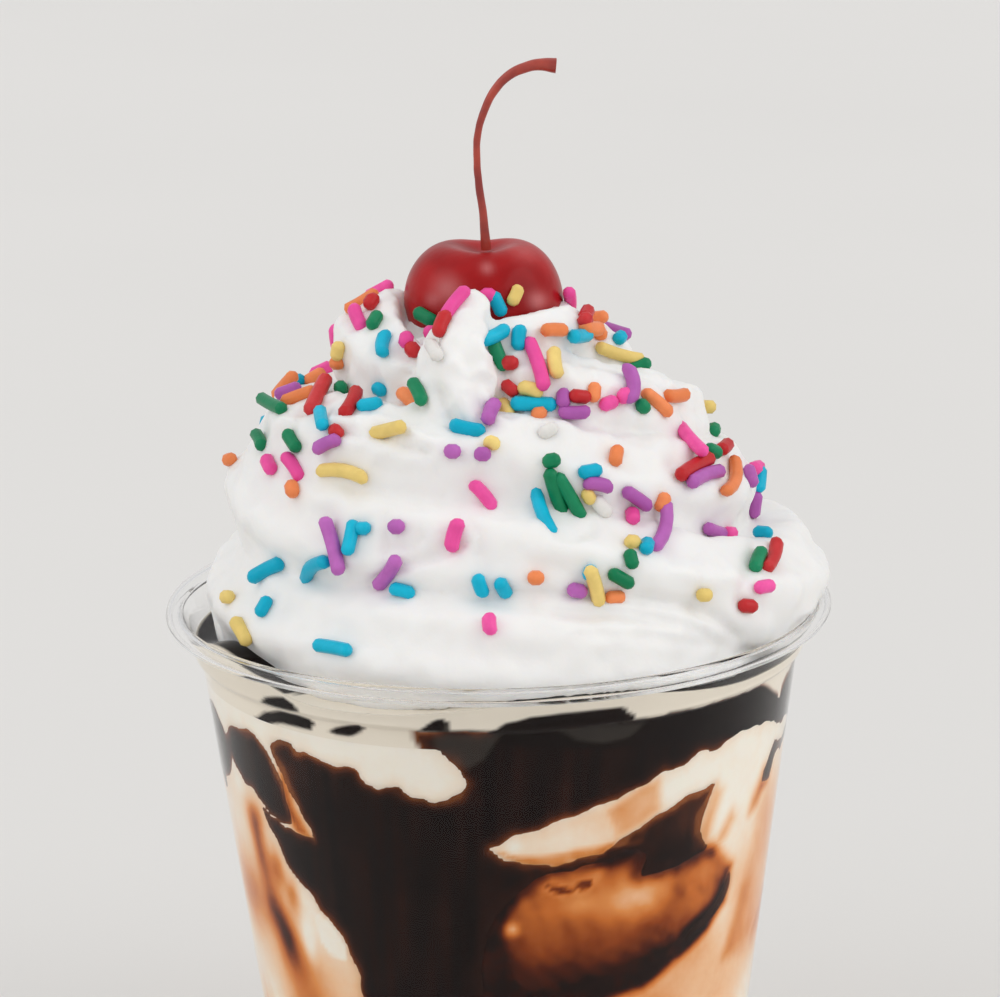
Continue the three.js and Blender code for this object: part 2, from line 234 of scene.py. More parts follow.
def throughPixel(right, down):
    # start and direction of the sight line through a pixel of the photograph
    wide, high = cameraSpec["imageSize"]
    focal = cameraSpec["lens"] * wide / cameraSpec["sensor"]
    local = Vector((right - wide / 2, high / 2 - down, -focal)).normalized()
    return camera.matrix_world.translation, (camera.matrix_world.to_3x3() @ local).normalized()


# Shader nodes and groups
def addNode(nodes, kind, values=(), **options):
    # a node with its options, then the values of its sockets
    node = nodes.new(kind)
    for option, value in options.items():
        setattr(node, option, value)
    for socket, value in dict(values).items():
        node.inputs[socket].default_value = value
    return node


def newGroup(name, inputs, outputs):
    group = bpy.data.node_groups.new(name, "ShaderNodeTree")
    for label, kind, value in inputs:
        socket = group.interface.new_socket(name=label, in_out="INPUT", socket_type=kind)
        socket.default_value = value
    for label, kind in outputs:
        group.interface.new_socket(name=label, in_out="OUTPUT", socket_type=kind)
    return group, group.nodes.new("NodeGroupInput"), group.nodes.new("NodeGroupOutput")


def makeReliefGroup():
    # uneven height at two scales, such as the skin of cream or of a sweet
    group, start, end = newGroup(
        "unevenSkin",
        [("Scale", "NodeSocketFloat", 300.0), ("Fine Scale", "NodeSocketFloat", 1500.0),
         ("Fine Share", "NodeSocketFloat", 0.3)],
        [("Height", "NodeSocketFloat")],
    )
    nodes, links = group.nodes, group.links
    place = nodes.new("ShaderNodeTexCoord")
    broad = addNode(nodes, "ShaderNodeTexNoise", {"Detail": 2})
    fine = addNode(nodes, "ShaderNodeTexNoise", {"Detail": 3})
    mix = nodes.new("ShaderNodeMix")
    links.new(place.outputs["Object"], broad.inputs["Vector"])
    links.new(place.outputs["Object"], fine.inputs["Vector"])
    links.new(start.outputs["Scale"], broad.inputs["Scale"])
    links.new(start.outputs["Fine Scale"], fine.inputs["Scale"])
    links.new(start.outputs["Fine Share"], mix.inputs["Factor"])
    links.new(broad.outputs["Fac"], mix.inputs[2])
    links.new(fine.outputs["Fac"], mix.inputs[3])
    links.new(mix.outputs[0], end.inputs["Height"])
    return group


def makeToneGroup():
    # one colour drifting into another in soft patches
    group, start, end = newGroup(
        "patchyTone",
        [("Color", "NodeSocketColor", (1, 1, 1, 1)), ("Patch Color", "NodeSocketColor", (0.8, 0.8, 0.8, 1)),
         ("Scale", "NodeSocketFloat", 60.0), ("Amount", "NodeSocketFloat", 0.5)],
        [("Color", "NodeSocketColor"), ("Mask", "NodeSocketFloat")],
    )
    nodes, links = group.nodes, group.links
    place = nodes.new("ShaderNodeTexCoord")
    patches = addNode(nodes, "ShaderNodeTexNoise", {"Detail": 3})
    spread = addNode(nodes, "ShaderNodeMapRange", {"From Min": 0.35, "From Max": 0.65})
    amount = addNode(nodes, "ShaderNodeMath", operation="MULTIPLY")
    mix = addNode(nodes, "ShaderNodeMix", data_type="RGBA")
    links.new(place.outputs["Object"], patches.inputs["Vector"])
    links.new(start.outputs["Scale"], patches.inputs["Scale"])
    links.new(patches.outputs["Fac"], spread.inputs["Value"])
    links.new(spread.outputs["Result"], amount.inputs[0])
    links.new(start.outputs["Amount"], amount.inputs[1])
    links.new(amount.outputs[0], mix.inputs["Factor"])
    links.new(start.outputs["Color"], mix.inputs[6])
    links.new(start.outputs["Patch Color"], mix.inputs[7])
    links.new(mix.outputs[2], end.inputs["Color"])
    links.new(amount.outputs[0], end.inputs["Mask"])
    return group


unevenSkin = makeReliefGroup()
patchyTone = makeToneGroup()


def newMaterial(name, settings):
    material = bpy.data.materials.new(name)
    material.use_nodes = True
    shader = material.node_tree.nodes["Principled BSDF"]
    for socket, value in settings.items():
        shader.inputs[socket].default_value = value
    return material, material.node_tree.nodes, material.node_tree.links, shader


def addGroup(nodes, group, values):
    return addNode(nodes, "ShaderNodeGroup", values, node_tree=group)


def addRamp(nodes, stops):
    ramp = nodes.new("ShaderNodeValToRGB")
    elements = ramp.color_ramp.elements
    elements[0].position, elements[0].color = stops[0]
    elements[1].position, elements[1].color = stops[-1]
    for position, tone in stops[1:-1]:
        elements.new(position).color = tone
    return ramp


def addBump(nodes, links, shader, height, strength, distance):
    bump = addNode(nodes, "ShaderNodeBump", {"Strength": strength, "Distance": distance})
    links.new(height, bump.inputs["Height"])
    links.new(bump.outputs["Normal"], shader.inputs["Normal"])
    return bump


# The cup: a thin clear sheet, from its raised floor over the foot and up to the curled lip
cupSpec = {
    "height": 84.0, "rim": 46.0, "curl": 1.2, "sheet": 0.6,
    "shoulderUp": -6.55, "shoulder": 41.4, "slope": 0.134, "skirtStep": 0.8,
    "punt": 3.0, "puntRadius": 24.0, "footInner": 26.5, "corner": 1.6,
    "sides": 144,
}


def wallRadius(up):
    return cupSpec["shoulder"] + cupSpec["slope"] * (up - cupSpec["shoulderUp"]) - cupSpec["sheet"]


def innerRadius(up):
    # inside of the cup, which steps out a little above its shoulder
    shoulder = cupSpec["shoulderUp"]
    step = cupSpec["shoulder"] + cupSpec["skirtStep"] - cupSpec["sheet"]
    neck = cupSpec["rim"] - 2 * cupSpec["curl"] - cupSpec["sheet"] - 0.3
    heights = [shoulder - 1, shoulder - 0.5, shoulder + 0.25, shoulder + 0.7, -cupSpec["curl"] - 1.6]
    radii = [wallRadius(shoulder - 1), wallRadius(shoulder - 0.5), step, step + 0.1, neck]
    return np.where(up < heights[0], wallRadius(up), np.interp(up, heights, radii))


def cupStations(spec):
    top = spec["height"]
    sheet = spec["sheet"]
    curlRadius = spec["rim"] - spec["curl"]
    curlHeight = top - spec["curl"]
    shoulder = top + spec["shoulderUp"]
    corner = spec["corner"]

    def outside(height):
        return spec["shoulder"] + spec["slope"] * (height - shoulder)

    def arc(radius, height, size, start, stop, steps):
        turns = [math.radians(start + (stop - start) * i / steps) for i in range(steps + 1)]
        return [(radius + size * math.cos(turn), height + size * math.sin(turn)) for turn in turns]

    cornerRadius = outside(corner) - corner
    step = spec["shoulder"] + spec["skirtStep"]
    stations = [(spec["puntRadius"], spec["punt"]), (spec["footInner"], 0)]
    stations += arc(cornerRadius, corner, corner, -90, 0, 8)
    stations += [(outside(shoulder - 0.9), shoulder - 0.9)]
    stations += [(outside(shoulder - 0.5) + 0.12, shoulder - 0.5), (step - 0.15, shoulder - 0.1)]
    stations += [(step + 0.1, shoulder + 0.25), (step + 0.2, shoulder + 0.7)]
    stations += [(curlRadius - spec["curl"] - 0.3, curlHeight - 1.6)]
    stations += [(curlRadius - spec["curl"] + sheet, curlHeight)]
    stations += arc(curlRadius, curlHeight, spec["curl"] - sheet, 180, -70, 10)
    stations += arc(curlRadius, curlHeight, spec["curl"], -70, 180, 18)
    stations += [(curlRadius - spec["curl"] - sheet - 0.3, curlHeight - 1.6)]
    stations += [(step - sheet + 0.1, shoulder + 0.7), (step - sheet, shoulder + 0.25)]
    stations += [(outside(shoulder - 0.5) - sheet, shoulder - 0.5), (outside(shoulder - 1) - sheet, shoulder - 1)]
    stations += arc(cornerRadius, corner, corner - sheet, 0, -90, 6)
    stations += [(spec["footInner"] + 0.25, sheet), (spec["puntRadius"] + 0.25, spec["punt"] + sheet)]
    return [(radius * mm, height * mm) for radius, height in stations]


def makeClearPlastic():
    material, nodes, links, shader = newMaterial("clearPlastic", {
        "Base Color": (1, 1, 1, 1), "Roughness": 0.02, "IOR": 1.2, "Specular IOR Level": 0.05,
        "Transmission Weight": 1.0,
    })
    skin = addGroup(nodes, unevenSkin, {"Scale": 60.0, "Fine Scale": 240.0, "Fine Share": 0.2})
    addBump(nodes, links, shader, skin.outputs["Height"], 0.12, 0.0006)
    # the thin sheet lets the lamps through
    path = nodes.new("ShaderNodeLightPath")
    clear = nodes.new("ShaderNodeBsdfTransparent")
    mix = nodes.new("ShaderNodeMixShader")
    links.new(path.outputs["Is Shadow Ray"], mix.inputs["Fac"])
    links.new(shader.outputs["BSDF"], mix.inputs[1])
    links.new(clear.outputs["BSDF"], mix.inputs[2])
    links.new(mix.outputs["Shader"], nodes["Material Output"].inputs["Surface"])
    return material


cup = turnedShell("cupShell", cupStations(cupSpec), cupSpec["sides"])
smoothed(cup, 50)
finishPiece(cup, "cupShell", makeClearPlastic(), "clear_plastic", "cup")
print("cup done")

# What shows through the wall. Outlines are points of the photograph, right and down in pixels, and
# those below the picture's edge carry the pattern on down the cup.
arcScale = 0.69   # millimetres of wall to a degree


def onWall(outline):
    # where the sight lines through an outline's points meet the wall, as (angle, up)
    spots = []
    slope = cupSpec["slope"]
    for right, down in outline:
        start, direction = throughPixel(right, down)
        start = start / mm
        reach = wallRadius(start.z - cupSpec["height"])
        a = direction.x ** 2 + direction.y ** 2 - (slope * direction.z) ** 2
        b = 2 * (direction.x * start.x + direction.y * start.y - slope * direction.z * reach)
        c = start.x ** 2 + start.y ** 2 - reach ** 2
        root = b * b - 4 * a * c
        met = start + direction * ((-b - math.sqrt(max(root, 0))) / (2 * a))
        angle = math.degrees(math.atan2(met.x, -met.y))
        if root < 0:   # past the edge of the cup, so the pattern goes on round the side
            angle += math.copysign(10, angle)
        spots.append((angle, met.z - cupSpec["height"]))
    return spots


syrupSpec = {
    "depth": 1.9, "reach": 0.34, "poolUp": -4.9, "lidInset": 0.3, "edge": 1.0, "fringe": 1.8,
    "backTurn": 186.0,   # how far round the front's spots come again
    "milkFrom": -6.5,    # the melted cream's lower edge
    "thin": {   # where the syrup is thin and shows browner: right, down, half width, half height, how much
        "topLeft": (290, 770, 18, 30, 0.58), "leftEdge": (262, 750, 14, 20, 0.2),
        "tri": (690, 815, 30, 30, 0.5), "triLeft": (620, 851, 20, 13, 0.7),
        "byCaramel": (490, 935, 10, 50, 0.3), "lensTip": (440, 800, 40, 8, 0.3),
    },
    "ledgeSpots": {
        "topLeft": [(266, 699), (272, 695), (282, 693), (292, 694), (299, 701), (304, 709), (296, 708), (280, 704)],
        "left": [(244, 721), (256, 717), (268, 711), (284, 709), (300, 713), (314, 718), (319, 723), (313, 729),
                 (300, 726), (284, 722), (268, 723), (254, 724)],
        "thin": [(330, 730), (345, 724), (362, 722), (368, 727), (362, 732), (350, 735), (336, 733)],
        "middle": [(420, 729), (430, 721), (437, 716), (444, 715), (450, 719), (453, 729)],
        "right": [(493, 729), (508, 719), (530, 713), (560, 709), (590, 706), (618, 703), (624, 708), (633, 711),
                  (634, 717), (622, 721), (590, 723), (540, 727)],
        "band": [(490, 728), (540, 724), (580, 722), (620, 719), (660, 713), (700, 705), (730, 696), (757, 685),
                 (768, 689), (776, 697), (779, 687), (790, 681), (796, 690), (791, 716), (700, 740), (500, 745)],
    },
    "outlines": {
        "mass": [
            (270, 741), (283, 738), (291, 742), (297, 749), (309, 751), (319, 757), (334, 764), (347, 766),
            (358, 769), (363, 777), (368, 783), (376, 786), (388, 785), (398, 786), (405, 793), (413, 797),
            (422, 798), (433, 801), (443, 800), (453, 796), (461, 788), (465, 779), (462, 770), (455, 763),
            (444, 754), (433, 749), (421, 747), (419, 740), (418, 731), (440, 729), (480, 728), (500, 727),
            (540, 724), (580, 722), (620, 720), (660, 715), (700, 706), (730, 697), (757, 686), (768, 690),
            (776, 698), (779, 688), (790, 682), (796, 690), (791, 716), (783, 719), (770, 722), (762, 721),
            (754, 723), (741, 730), (726, 738), (718, 745), (708, 751), (697, 753), (685, 760), (675, 765),
            (665, 772), (655, 777), (648, 781), (635, 787), (620, 795), (605, 803), (590, 808), (575, 813),
            (560, 820), (545, 826), (525, 832), (513, 834), (506, 839), (501, 846), (494, 844), (493, 848),
            (498, 855), (505, 859), (518, 862), (532, 864), (550, 864), (566, 861), (580, 858), (595, 854),
            (606, 848), (618, 840), (630, 832), (641, 824), (650, 816), (657, 811), (666, 806), (679, 799),
            (691, 792), (702, 786), (713, 780), (709, 791), (705, 803), (700, 816), (697, 829), (699, 838),
            (706, 846), (708, 848), (699, 852), (690, 857), (680, 862), (668, 867), (654, 873), (640, 878),
            (636, 872), (640, 862), (642, 852), (636, 848), (622, 850), (608, 857), (594, 864), (578, 867),
            (562, 870), (547, 875), (534, 881), (522, 888), (508, 901), (496, 917), (488, 934), (484, 955),
            (482, 985), (486, 1020), (474, 1060), (448, 1110), (410, 1140), (380, 1120), (372, 1060), (368, 1000),
            (362, 975), (356, 960), (350, 946), (340, 930), (330, 915), (320, 901), (311, 890), (302, 880),
            (295, 871), (289, 861), (283, 849), (278, 836), (271, 822), (264, 806), (268, 808), (277, 817),
            (287, 825), (298, 829), (308, 835), (316, 839), (313, 830), (307, 818), (301, 806), (294, 793),
            (287, 779), (281, 767), (276, 755), (272, 747),
        ],
        "leaf": [
            (228, 736), (232, 728), (239, 723), (249, 728), (257, 735), (265, 744), (270, 752), (276, 763),
            (281, 775), (286, 786), (289, 797), (292, 808), (295, 817), (296, 823), (289, 823), (281, 820),
            (274, 813), (268, 805), (261, 798), (255, 788), (247, 777), (240, 765), (234, 755), (229, 746),
        ],
        "leftStreak": [(209, 700), (216, 700), (225, 720), (232, 738), (236, 755), (236, 772), (230, 777),
                       (224, 765), (219, 745), (213, 725)],
        "rightStreak": [(788, 722), (780, 737), (774, 747), (770, 758), (767, 770), (765, 779), (758, 781),
                        (760, 768), (765, 754), (771, 742), (779, 731), (785, 718)],
        "lowStreak": [(729, 866), (727, 880), (722, 895), (716, 908), (706, 920), (694, 931), (680, 943),
                      (684, 934), (700, 916), (711, 904), (718, 888), (724, 873)],
    },
}
# the unseen sides and back, as strokes of (angle, up, half width)
syrupSpec["strokes"] = {
    "sideFall": [(84, -16.4, 2.4), (96, -14.6, 3), (106, -12.6, 3.4)],
    "sideBand": [(74, -11.8, 3.6), (96, -10.6, 3.4), (118, -12, 4.4), (140, -10.8, 3.4)],
    "sideRun": [(118, -12, 5), (112, -24, 5.6), (106, -38, 4.4), (108, -50, 2.6)],
    "backRun": [(160, -9, 3.6), (168, -22, 6.4), (176, -36, 7), (172, -52, 4.4)],
    "backBand": [(140, -10.8, 3.4), (160, -9, 3), (186, -10.6, 4), (212, -10, 3.4)],
    "farRun": [(212, -10, 4.2), (218, -22, 5.4), (228, -34, 5), (226, -46, 2.4)],
    "farStreak": [(262, -9, 2.4), (270, -15, 3.2), (282, -22, 1.8)],
}
for outlines in (syrupSpec["ledgeSpots"], syrupSpec["outlines"]):
    for name, outline in outlines.items():
        outlines[name] = onWall(outline)


def halfTurn(angle):
    # the same angle between -180 and 180
    return (angle + 180) % 360 - 180


def fromSegment(x, y, x0, y0, x1, y1):
    # how far points lie from a segment, and how far along it, from 0 to 1
    dx, dy = x1 - x0, y1 - y0
    along = np.clip(((x - x0) * dx + (y - y0) * dy) / (dx * dx + dy * dy), 0, 1)
    return np.hypot(x - x0 - along * dx, y - y0 - along * dy), along


def outsideDistance(outline, angle, up):
    # millimetres outside an outline on the unrolled wall, negative inside it
    corners = np.array(outline, float)
    middle = corners[:, 0].mean()
    x = halfTurn(angle - middle) * arcScale
    corners[:, 0] = (corners[:, 0] - middle) * arcScale
    nearest = np.full(len(x), 1e9)
    inside = np.zeros(len(x), bool)
    for (x0, y0), (x1, y1) in zip(corners, np.roll(corners, -1, axis=0)):
        nearest = np.minimum(nearest, fromSegment(x, up, x0, y0, x1, y1)[0])
        if y1 != y0:
            inside ^= ((y0 > up) != (y1 > up)) & (x < (x1 - x0) * (up - y0) / (y1 - y0) + x0)
    return np.where(inside, -nearest, nearest)


def ripple(x, y, seed, size):
    # a smooth uneven value, about -1 to 1, whose lumps are about size across
    draw = np.random.default_rng(seed)
    total = np.zeros(len(x))
    for octave in range(5):
        turn = draw.uniform(0, 2 * math.pi)
        phase = draw.uniform(0, 2 * math.pi)
        pitch = size * draw.uniform(0.6, 1.6)
        total += np.sin(2 * math.pi * (x * math.cos(turn) + y * math.sin(turn)) / pitch + phase)
    return total / 3.2


def softStep(value, low, high):
    share = np.clip((value - low) / (high - low), 0, 1)
    return share * share * (3 - 2 * share)


def wallRipple(angle, up, seed, size, lean=0.0, squash=1.0):
    # a ripple on the unrolled wall, closed round the back, whose lumps can lean over and be drawn out
    turned = halfTurn(angle)

    def at(turn):
        across = turn * arcScale
        return ripple(across + lean * up, (up - lean * across) * squash, seed, size)

    share = softStep(turned, 150, 180)
    return at(turned) * (1 - share) + at(turned - 360) * share


def strokeDistance(stroke, angle, up):
    # millimetres outside a stroke on the unrolled wall, negative inside it
    nearest = np.full(len(angle), 1e9)
    for (a0, u0, w0), (a1, u1, w1) in zip(stroke, stroke[1:]):
        away, along = fromSegment(halfTurn(angle - a0) * arcScale, up, 0, u0, (a1 - a0) * arcScale, u1)
        nearest = np.minimum(nearest, away - (w0 + along * (w1 - w0)))
    return nearest


def syrupDistance(angle, up):
    # distance outside all of the syrup
    wavyUp = up + 0.35 * wallRipple(angle, up, 3, 5) + 0.16 * wallRipple(angle, up, 4, 2)
    wavyAngle = angle + 0.5 * wallRipple(angle, up, 5, 6)
    nearest = np.full(len(angle), 1e9)
    for outline in syrupSpec["outlines"].values():
        nearest = np.minimum(nearest, outsideDistance(outline, wavyAngle, wavyUp))
    uneven = 1.1 * wallRipple(angle, up, 6, 11)
    for stroke in syrupSpec["strokes"].values():
        nearest = np.minimum(nearest, strokeDistance(stroke, wavyAngle, wavyUp) + uneven)
    return nearest


def syrupDepth(angle, up):
    distance = syrupDistance(angle, up)
    return syrupSpec["depth"] * softStep(-distance, -0.3, syrupSpec["edge"] * 2) - 0.07


fillSpec = {
    "iceUp": -9.2, "tongueAngle": -32, "tongueHalf": 34, "tongueRise": 2.6,
    "swells": [(-60, 26, 4.2), (13, 40, 2.7)],   # angle, half its width and rise of the pool at the wall
    "sides": 420, "rows": 128, "coatRows": 110, "closeFrom": -12.0, "reach": 0.42, "iceLid": -10.4,
    "lidRings": (0.985, 0.95, 0.9, 0.8, 0.65, 0.4, 0.1),   # shares of the lid's radius
}


def humpOf(angle, middle, half):
    away = np.abs(halfTurn(angle - middle)) / half
    return 0.5 + 0.5 * np.cos(math.pi * np.clip(away, 0, 1))


def iceTop(angle, radius):
    outward = softStep(radius, 22, 36)
    turn = np.radians(angle)
    waves = 0.5 * np.sin(3 * turn) + 0.4 * np.sin(5 * turn + math.radians(40))
    tongue = fillSpec["tongueRise"] * humpOf(angle, fillSpec["tongueAngle"], fillSpec["tongueHalf"])
    return fillSpec["iceUp"] + outward * (waves + tongue)


def poolTop(angle, radius):
    outward = softStep(radius, 32, 39)
    rise = sum(height * humpOf(angle, middle, half) for middle, half, height in fillSpec["swells"])
    return syrupSpec["poolUp"] + outward * rise


def fillStations(reach, top, rows, bottom, gather):
    # floor, wall and a flat lid, in millimetres above the foot, the rows closer together near the top
    height = cupSpec["height"]
    low = cupSpec["sheet"] + bottom
    wallLow = low + 1.2
    wallHigh = height + top
    stations = [(cupSpec["puntRadius"] + 0.4, cupSpec["punt"] + low), (cupSpec["footInner"] + 0.4, low)]
    stations += [(wallRadius(wallLow - height) + reach - 1.2, low)]
    for i in range(rows + 1):
        z = wallHigh - (wallHigh - wallLow) * (1 - i / rows) ** gather
        stations.append((wallRadius(z - height) + reach, z))
    edge = wallRadius(top) + reach
    for i, share in enumerate(fillSpec["lidRings"]):
        stations.append((edge * share, wallHigh + 0.01 * i))
    return [(radius * mm, z * mm) for radius, z in stations]


def polarOf(points):
    angle = np.degrees(np.arctan2(points[:, 0], -points[:, 1]))
    radius = np.hypot(points[:, 0], points[:, 1]) / mm
    up = (points[:, 2] - rimTop) / mm
    return angle, radius, up


def makeIceBody():
    top = fillSpec["iceLid"]
    stations = fillStations(fillSpec["reach"], top, fillSpec["rows"], 0.5, 1)
    piece = turnedShell("iceCreamBody", stations, fillSpec["sides"])
    points = pointsOf(piece)
    angle, radius, up = polarOf(points)
    lid = up > top + 0.005
    wall = (radius > wallRadius(up) - 0.3) & ~lid & (up > -cupSpec["height"] + 2.2)
    wallEdge = lid & (radius > wallRadius(top) - 1.2)
    depth = np.zeros(len(points))
    drawn = wall | wallEdge
    depth[drawn] = syrupDepth(angle[drawn], np.minimum(up[drawn], top))
    drawIn(points, slice(None), (radius - depth) / np.maximum(radius, 1e-6))
    points[lid, 2] = rimTop + iceTop(angle[lid], radius[lid]) * mm
    setPoints(piece, points)
    return piece


def makeSyrupCoat(ice):
    top = syrupSpec["poolUp"] + max(rise for angle, half, rise in fillSpec["swells"])
    stations = fillStations(syrupSpec["reach"], top, fillSpec["coatRows"], 0.5, 1.8)
    pool = turnedShell("syrupCoat", stations, fillSpec["sides"])
    points = pointsOf(pool)
    angle, radius, up = polarOf(points)
    lid = up > top + 0.005
    points[lid, 2] = rimTop + poolTop(angle[lid], radius[lid]) * mm
    # the upper rows close up below the pool's uneven edge, against the inside of the cup
    low = fillSpec["closeFrom"]
    high = ~lid & (up > low)
    edge = poolTop(angle[high], wallRadius(top))
    raised = low + (up[high] - low) * (edge - low) / (top - low)
    drawIn(points, high, (innerRadius(raised) + syrupSpec["reach"]) / radius[high])
    points[high, 2] = rimTop + raised * mm
    rim = lid & (radius > 0.98 * wallRadius(top))
    edge = poolTop(angle[rim], wallRadius(top))
    drawIn(points, rim, (innerRadius(edge) - syrupSpec["lidInset"]) / radius[rim])
    points[rim, 2] = rimTop + (edge + 0.02) * mm
    setPoints(pool, points)
    cut = pool.modifiers.new("aboveTheIce", "BOOLEAN")
    cut.operation = "DIFFERENCE"
    cut.object = ice
    cut.solver = "MANIFOLD"
    applyModifiers(pool)
    return pool


def ledgeGap(angle, up):
    # 0 on the dark spots under the rim, 1 away from them
    gap = np.ones(len(angle))
    for outline in syrupSpec["ledgeSpots"].values():
        for shape in (outline, [(syrupSpec["backTurn"] + a, b) for a, b in outline]):
            distance = outsideDistance(shape, angle + 0.4 * wallRipple(angle, up, 33, 5), up)
            gap *= softStep(distance, -0.25, 0.25)
    return gap


def milkAt(angle, radius, up):
    # melted cream has run down between the syrup and the wall at the top, but for some dark spots
    level = syrupSpec["milkFrom"] + 0.25 * wallRipple(angle, up, 31, 8)
    milk = softStep(up, level - 0.35, level + 0.35)
    plain = 1 - softStep(stainAt(angle, up), 0.3, 0.5)   # beside caramel the syrup's edge has no pale film
    milk = np.maximum(milk, softStep(syrupDistance(angle, up), 0.1, 0.8) * plain) * ledgeGap(angle, up)
    # the hazes are a faint painted reflection, a pale veil laid over the dark band
    for outline in stainSpec["paintedReflectionHazes"].values():
        milk = np.maximum(milk, 0.035 * softStep(-outsideDistance(outline, angle, up), -0.5, 0.3))
    # it also lies on the pool's edge at the front left
    inward = 0.1 + 5 * softStep(humpOf(angle, -20, 30), 0.15, 0.4)
    return milk * (radius > innerRadius(up) - inward)


stainSpec = {
    "soft": 1.8, "seam": 2.2, "atBack": ("tan", "caramel"),
    "fadeOut": (84, 100), "blurOut": (50, 82),   # degrees from the front where the patches fade, and blur
    "lowStreaks": (46, 62), "sideStreaks": (84, 104),   # how far below the rim, and how far round, they begin
    "patches": {   # outline, how brown from 0 to 1
        "tan": ([(500, 850), (512, 836), (545, 828), (590, 812), (640, 786), (655, 780), (657, 809), (640, 824),
                 (600, 850), (560, 861), (520, 860)], 0.17),
        "tanRight": ([(606, 810), (640, 787), (656, 780), (657, 808), (640, 822), (615, 834)], 0.36),
        "tanEdge": ([(500, 852), (520, 854), (560, 851), (600, 843), (616, 838), (600, 853), (560, 863),
                     (520, 863)], 0.42),
        "caramel": ([(476, 930), (484, 900), (510, 880), (545, 867), (590, 858), (612, 846), (645, 838),
                     (660, 860), (690, 848), (712, 844), (726, 864), (720, 900), (704, 925), (680, 950),
                     (640, 985), (560, 1005), (468, 1010)], 0.66),
        "leftPale": ([(216, 760), (232, 772), (246, 800), (256, 835), (266, 872), (262, 892), (246, 872),
                      (230, 850), (222, 800)], 0.12),
        "leafGap": ([(283, 765), (290, 785), (297, 805), (306, 823), (315, 838), (300, 832), (289, 812),
                     (284, 790)], 0.55),
        "rightBand": ([(768, 770), (784, 735), (786, 770), (780, 830), (771, 880), (762, 912), (742, 940),
                       (720, 955), (733, 912), (744, 875), (751, 840), (757, 800)], 0.27),
        "rightDeep": ([(776, 780), (783, 770), (779, 835), (770, 880), (760, 915), (748, 930), (757, 890),
                       (765, 850), (771, 820)], 0.5),
        "rightThin": ([(759, 774), (764, 779), (754, 800), (747, 808), (750, 795)], 0.5),
        "triFringe": ([(713, 786), (719, 790), (709, 820), (704, 838), (714, 838), (722, 824), (728, 812),
                       (730, 818), (722, 834), (712, 846), (700, 845), (698, 830), (706, 805)], 0.34),
        "eye": ([(543, 883), (549, 890), (558, 894), (568, 895), (577, 889), (568, 886), (556, 883)], 0.95),
        "eyeEnd": ([(570, 888), (577, 880), (592, 876), (592, 884), (582, 891)], 0.95),
    },
    "pale": {   # outline, how much paler
        "ring": ([(538, 886), (552, 875), (580, 869), (602, 868), (596, 878), (586, 890), (560, 896)], 0.12),
        "leftTip": ([(322, 918), (332, 925), (343, 941), (346, 954), (334, 950), (326, 938)], 0.6),
    },
    "shades": {   # right, down, half width, half height, and how much browner
        "byMass": (496, 925, 20, 60, 0.14), "byMassLow": (490, 965, 16, 30, 0.3),
        "foot": (585, 1002, 160, 58, 0.36), "footRight": (672, 950, 36, 18, 0.2),
        # dot is a painted highlight: a small bright spot, paler than the caramel round it
        "glow": (636, 894, 32, 17, -0.34), "dot": (512, 928, 7, 7, -0.45),
        "underEye": (568, 905, 26, 10, -0.08), "belowEye": (580, 902, 14, 10, -0.1),
        "aboveTri": (622, 858, 20, 12, 0.16), "underTri": (701, 871, 14, 11, -0.12),
        "besideGlow": (674, 890, 9, 14, 0.1), "underGlow": (655, 925, 20, 12, 0.08),
        "rightOfGlow": (694, 898, 12, 12, -0.08), "rightGlow": (704, 892, 12, 20, -0.04),
        "swirlTop": (258, 815, 9, 18, 0.6), "swirlMiddle": (262, 842, 6, 22, 0.45),
        "swirlLow": (270, 864, 8, 22, 0.4), "swirlDark": (276, 902, 9, 24, 0.5),
        "curtain": (256, 892, 18, 30, 0.5), "besideTip": (290, 930, 10, 26, 0.55),
        "underTip": (300, 960, 18, 26, 0.35), "paleTip": (312, 940, 6, 18, -0.3),
        "besideEdge": (281, 866, 7, 20, 0.5), "besideEdgeLow": (296, 895, 7, 18, 0.45),
        "rightRun": (737, 886, 8, 30, 0.22), "rightSide": (763, 880, 7, 40, 0.42),
        "rightUpper": (758, 832, 12, 40, 0.14), "lowRight": (610, 1045, 70, 40, 0.3),
        "lowLeft": (318, 1030, 30, 60, 0.4), "tanPale": (548, 840, 30, 12, -0.08),
        "tanEnd": (512, 845, 9, 8, -0.2), "tanMiddle": (610, 815, 26, 10, 0.06),
    },
    # painted reflection: faint pale veils over the dark syrup under the rim
    "paintedReflectionHazes": {
        "left": [(436, 734), (500, 733), (492, 745), (484, 757), (468, 767), (459, 764), (446, 753), (436, 746)],
        "right": [(562, 729), (600, 726), (642, 722), (628, 735), (602, 741), (576, 738)],
    },
}
for outlines in (stainSpec["patches"], stainSpec["pale"]):
    for name, (outline, share) in outlines.items():
        outlines[name] = (onWall(outline), share)
for name, outline in stainSpec["paintedReflectionHazes"].items():
    stainSpec["paintedReflectionHazes"][name] = onWall(outline)
for shades in (stainSpec["shades"], syrupSpec["thin"]):
    for name, (right, down, wide, high, amount) in shades.items():
        shades[name] = (onWall([(right, down), (right + wide, down), (right, down + high)]), amount)


def shadeAt(shades, angle, up):
    # soft round shades
    total = np.zeros(len(angle))
    for ((middle, height), (side, level), (below, foot)), amount in shades.values():
        across = halfTurn(angle - middle) / (side - middle)
        total += amount * np.exp(-across ** 2 - ((up - height) / (foot - height)) ** 2)
    return total


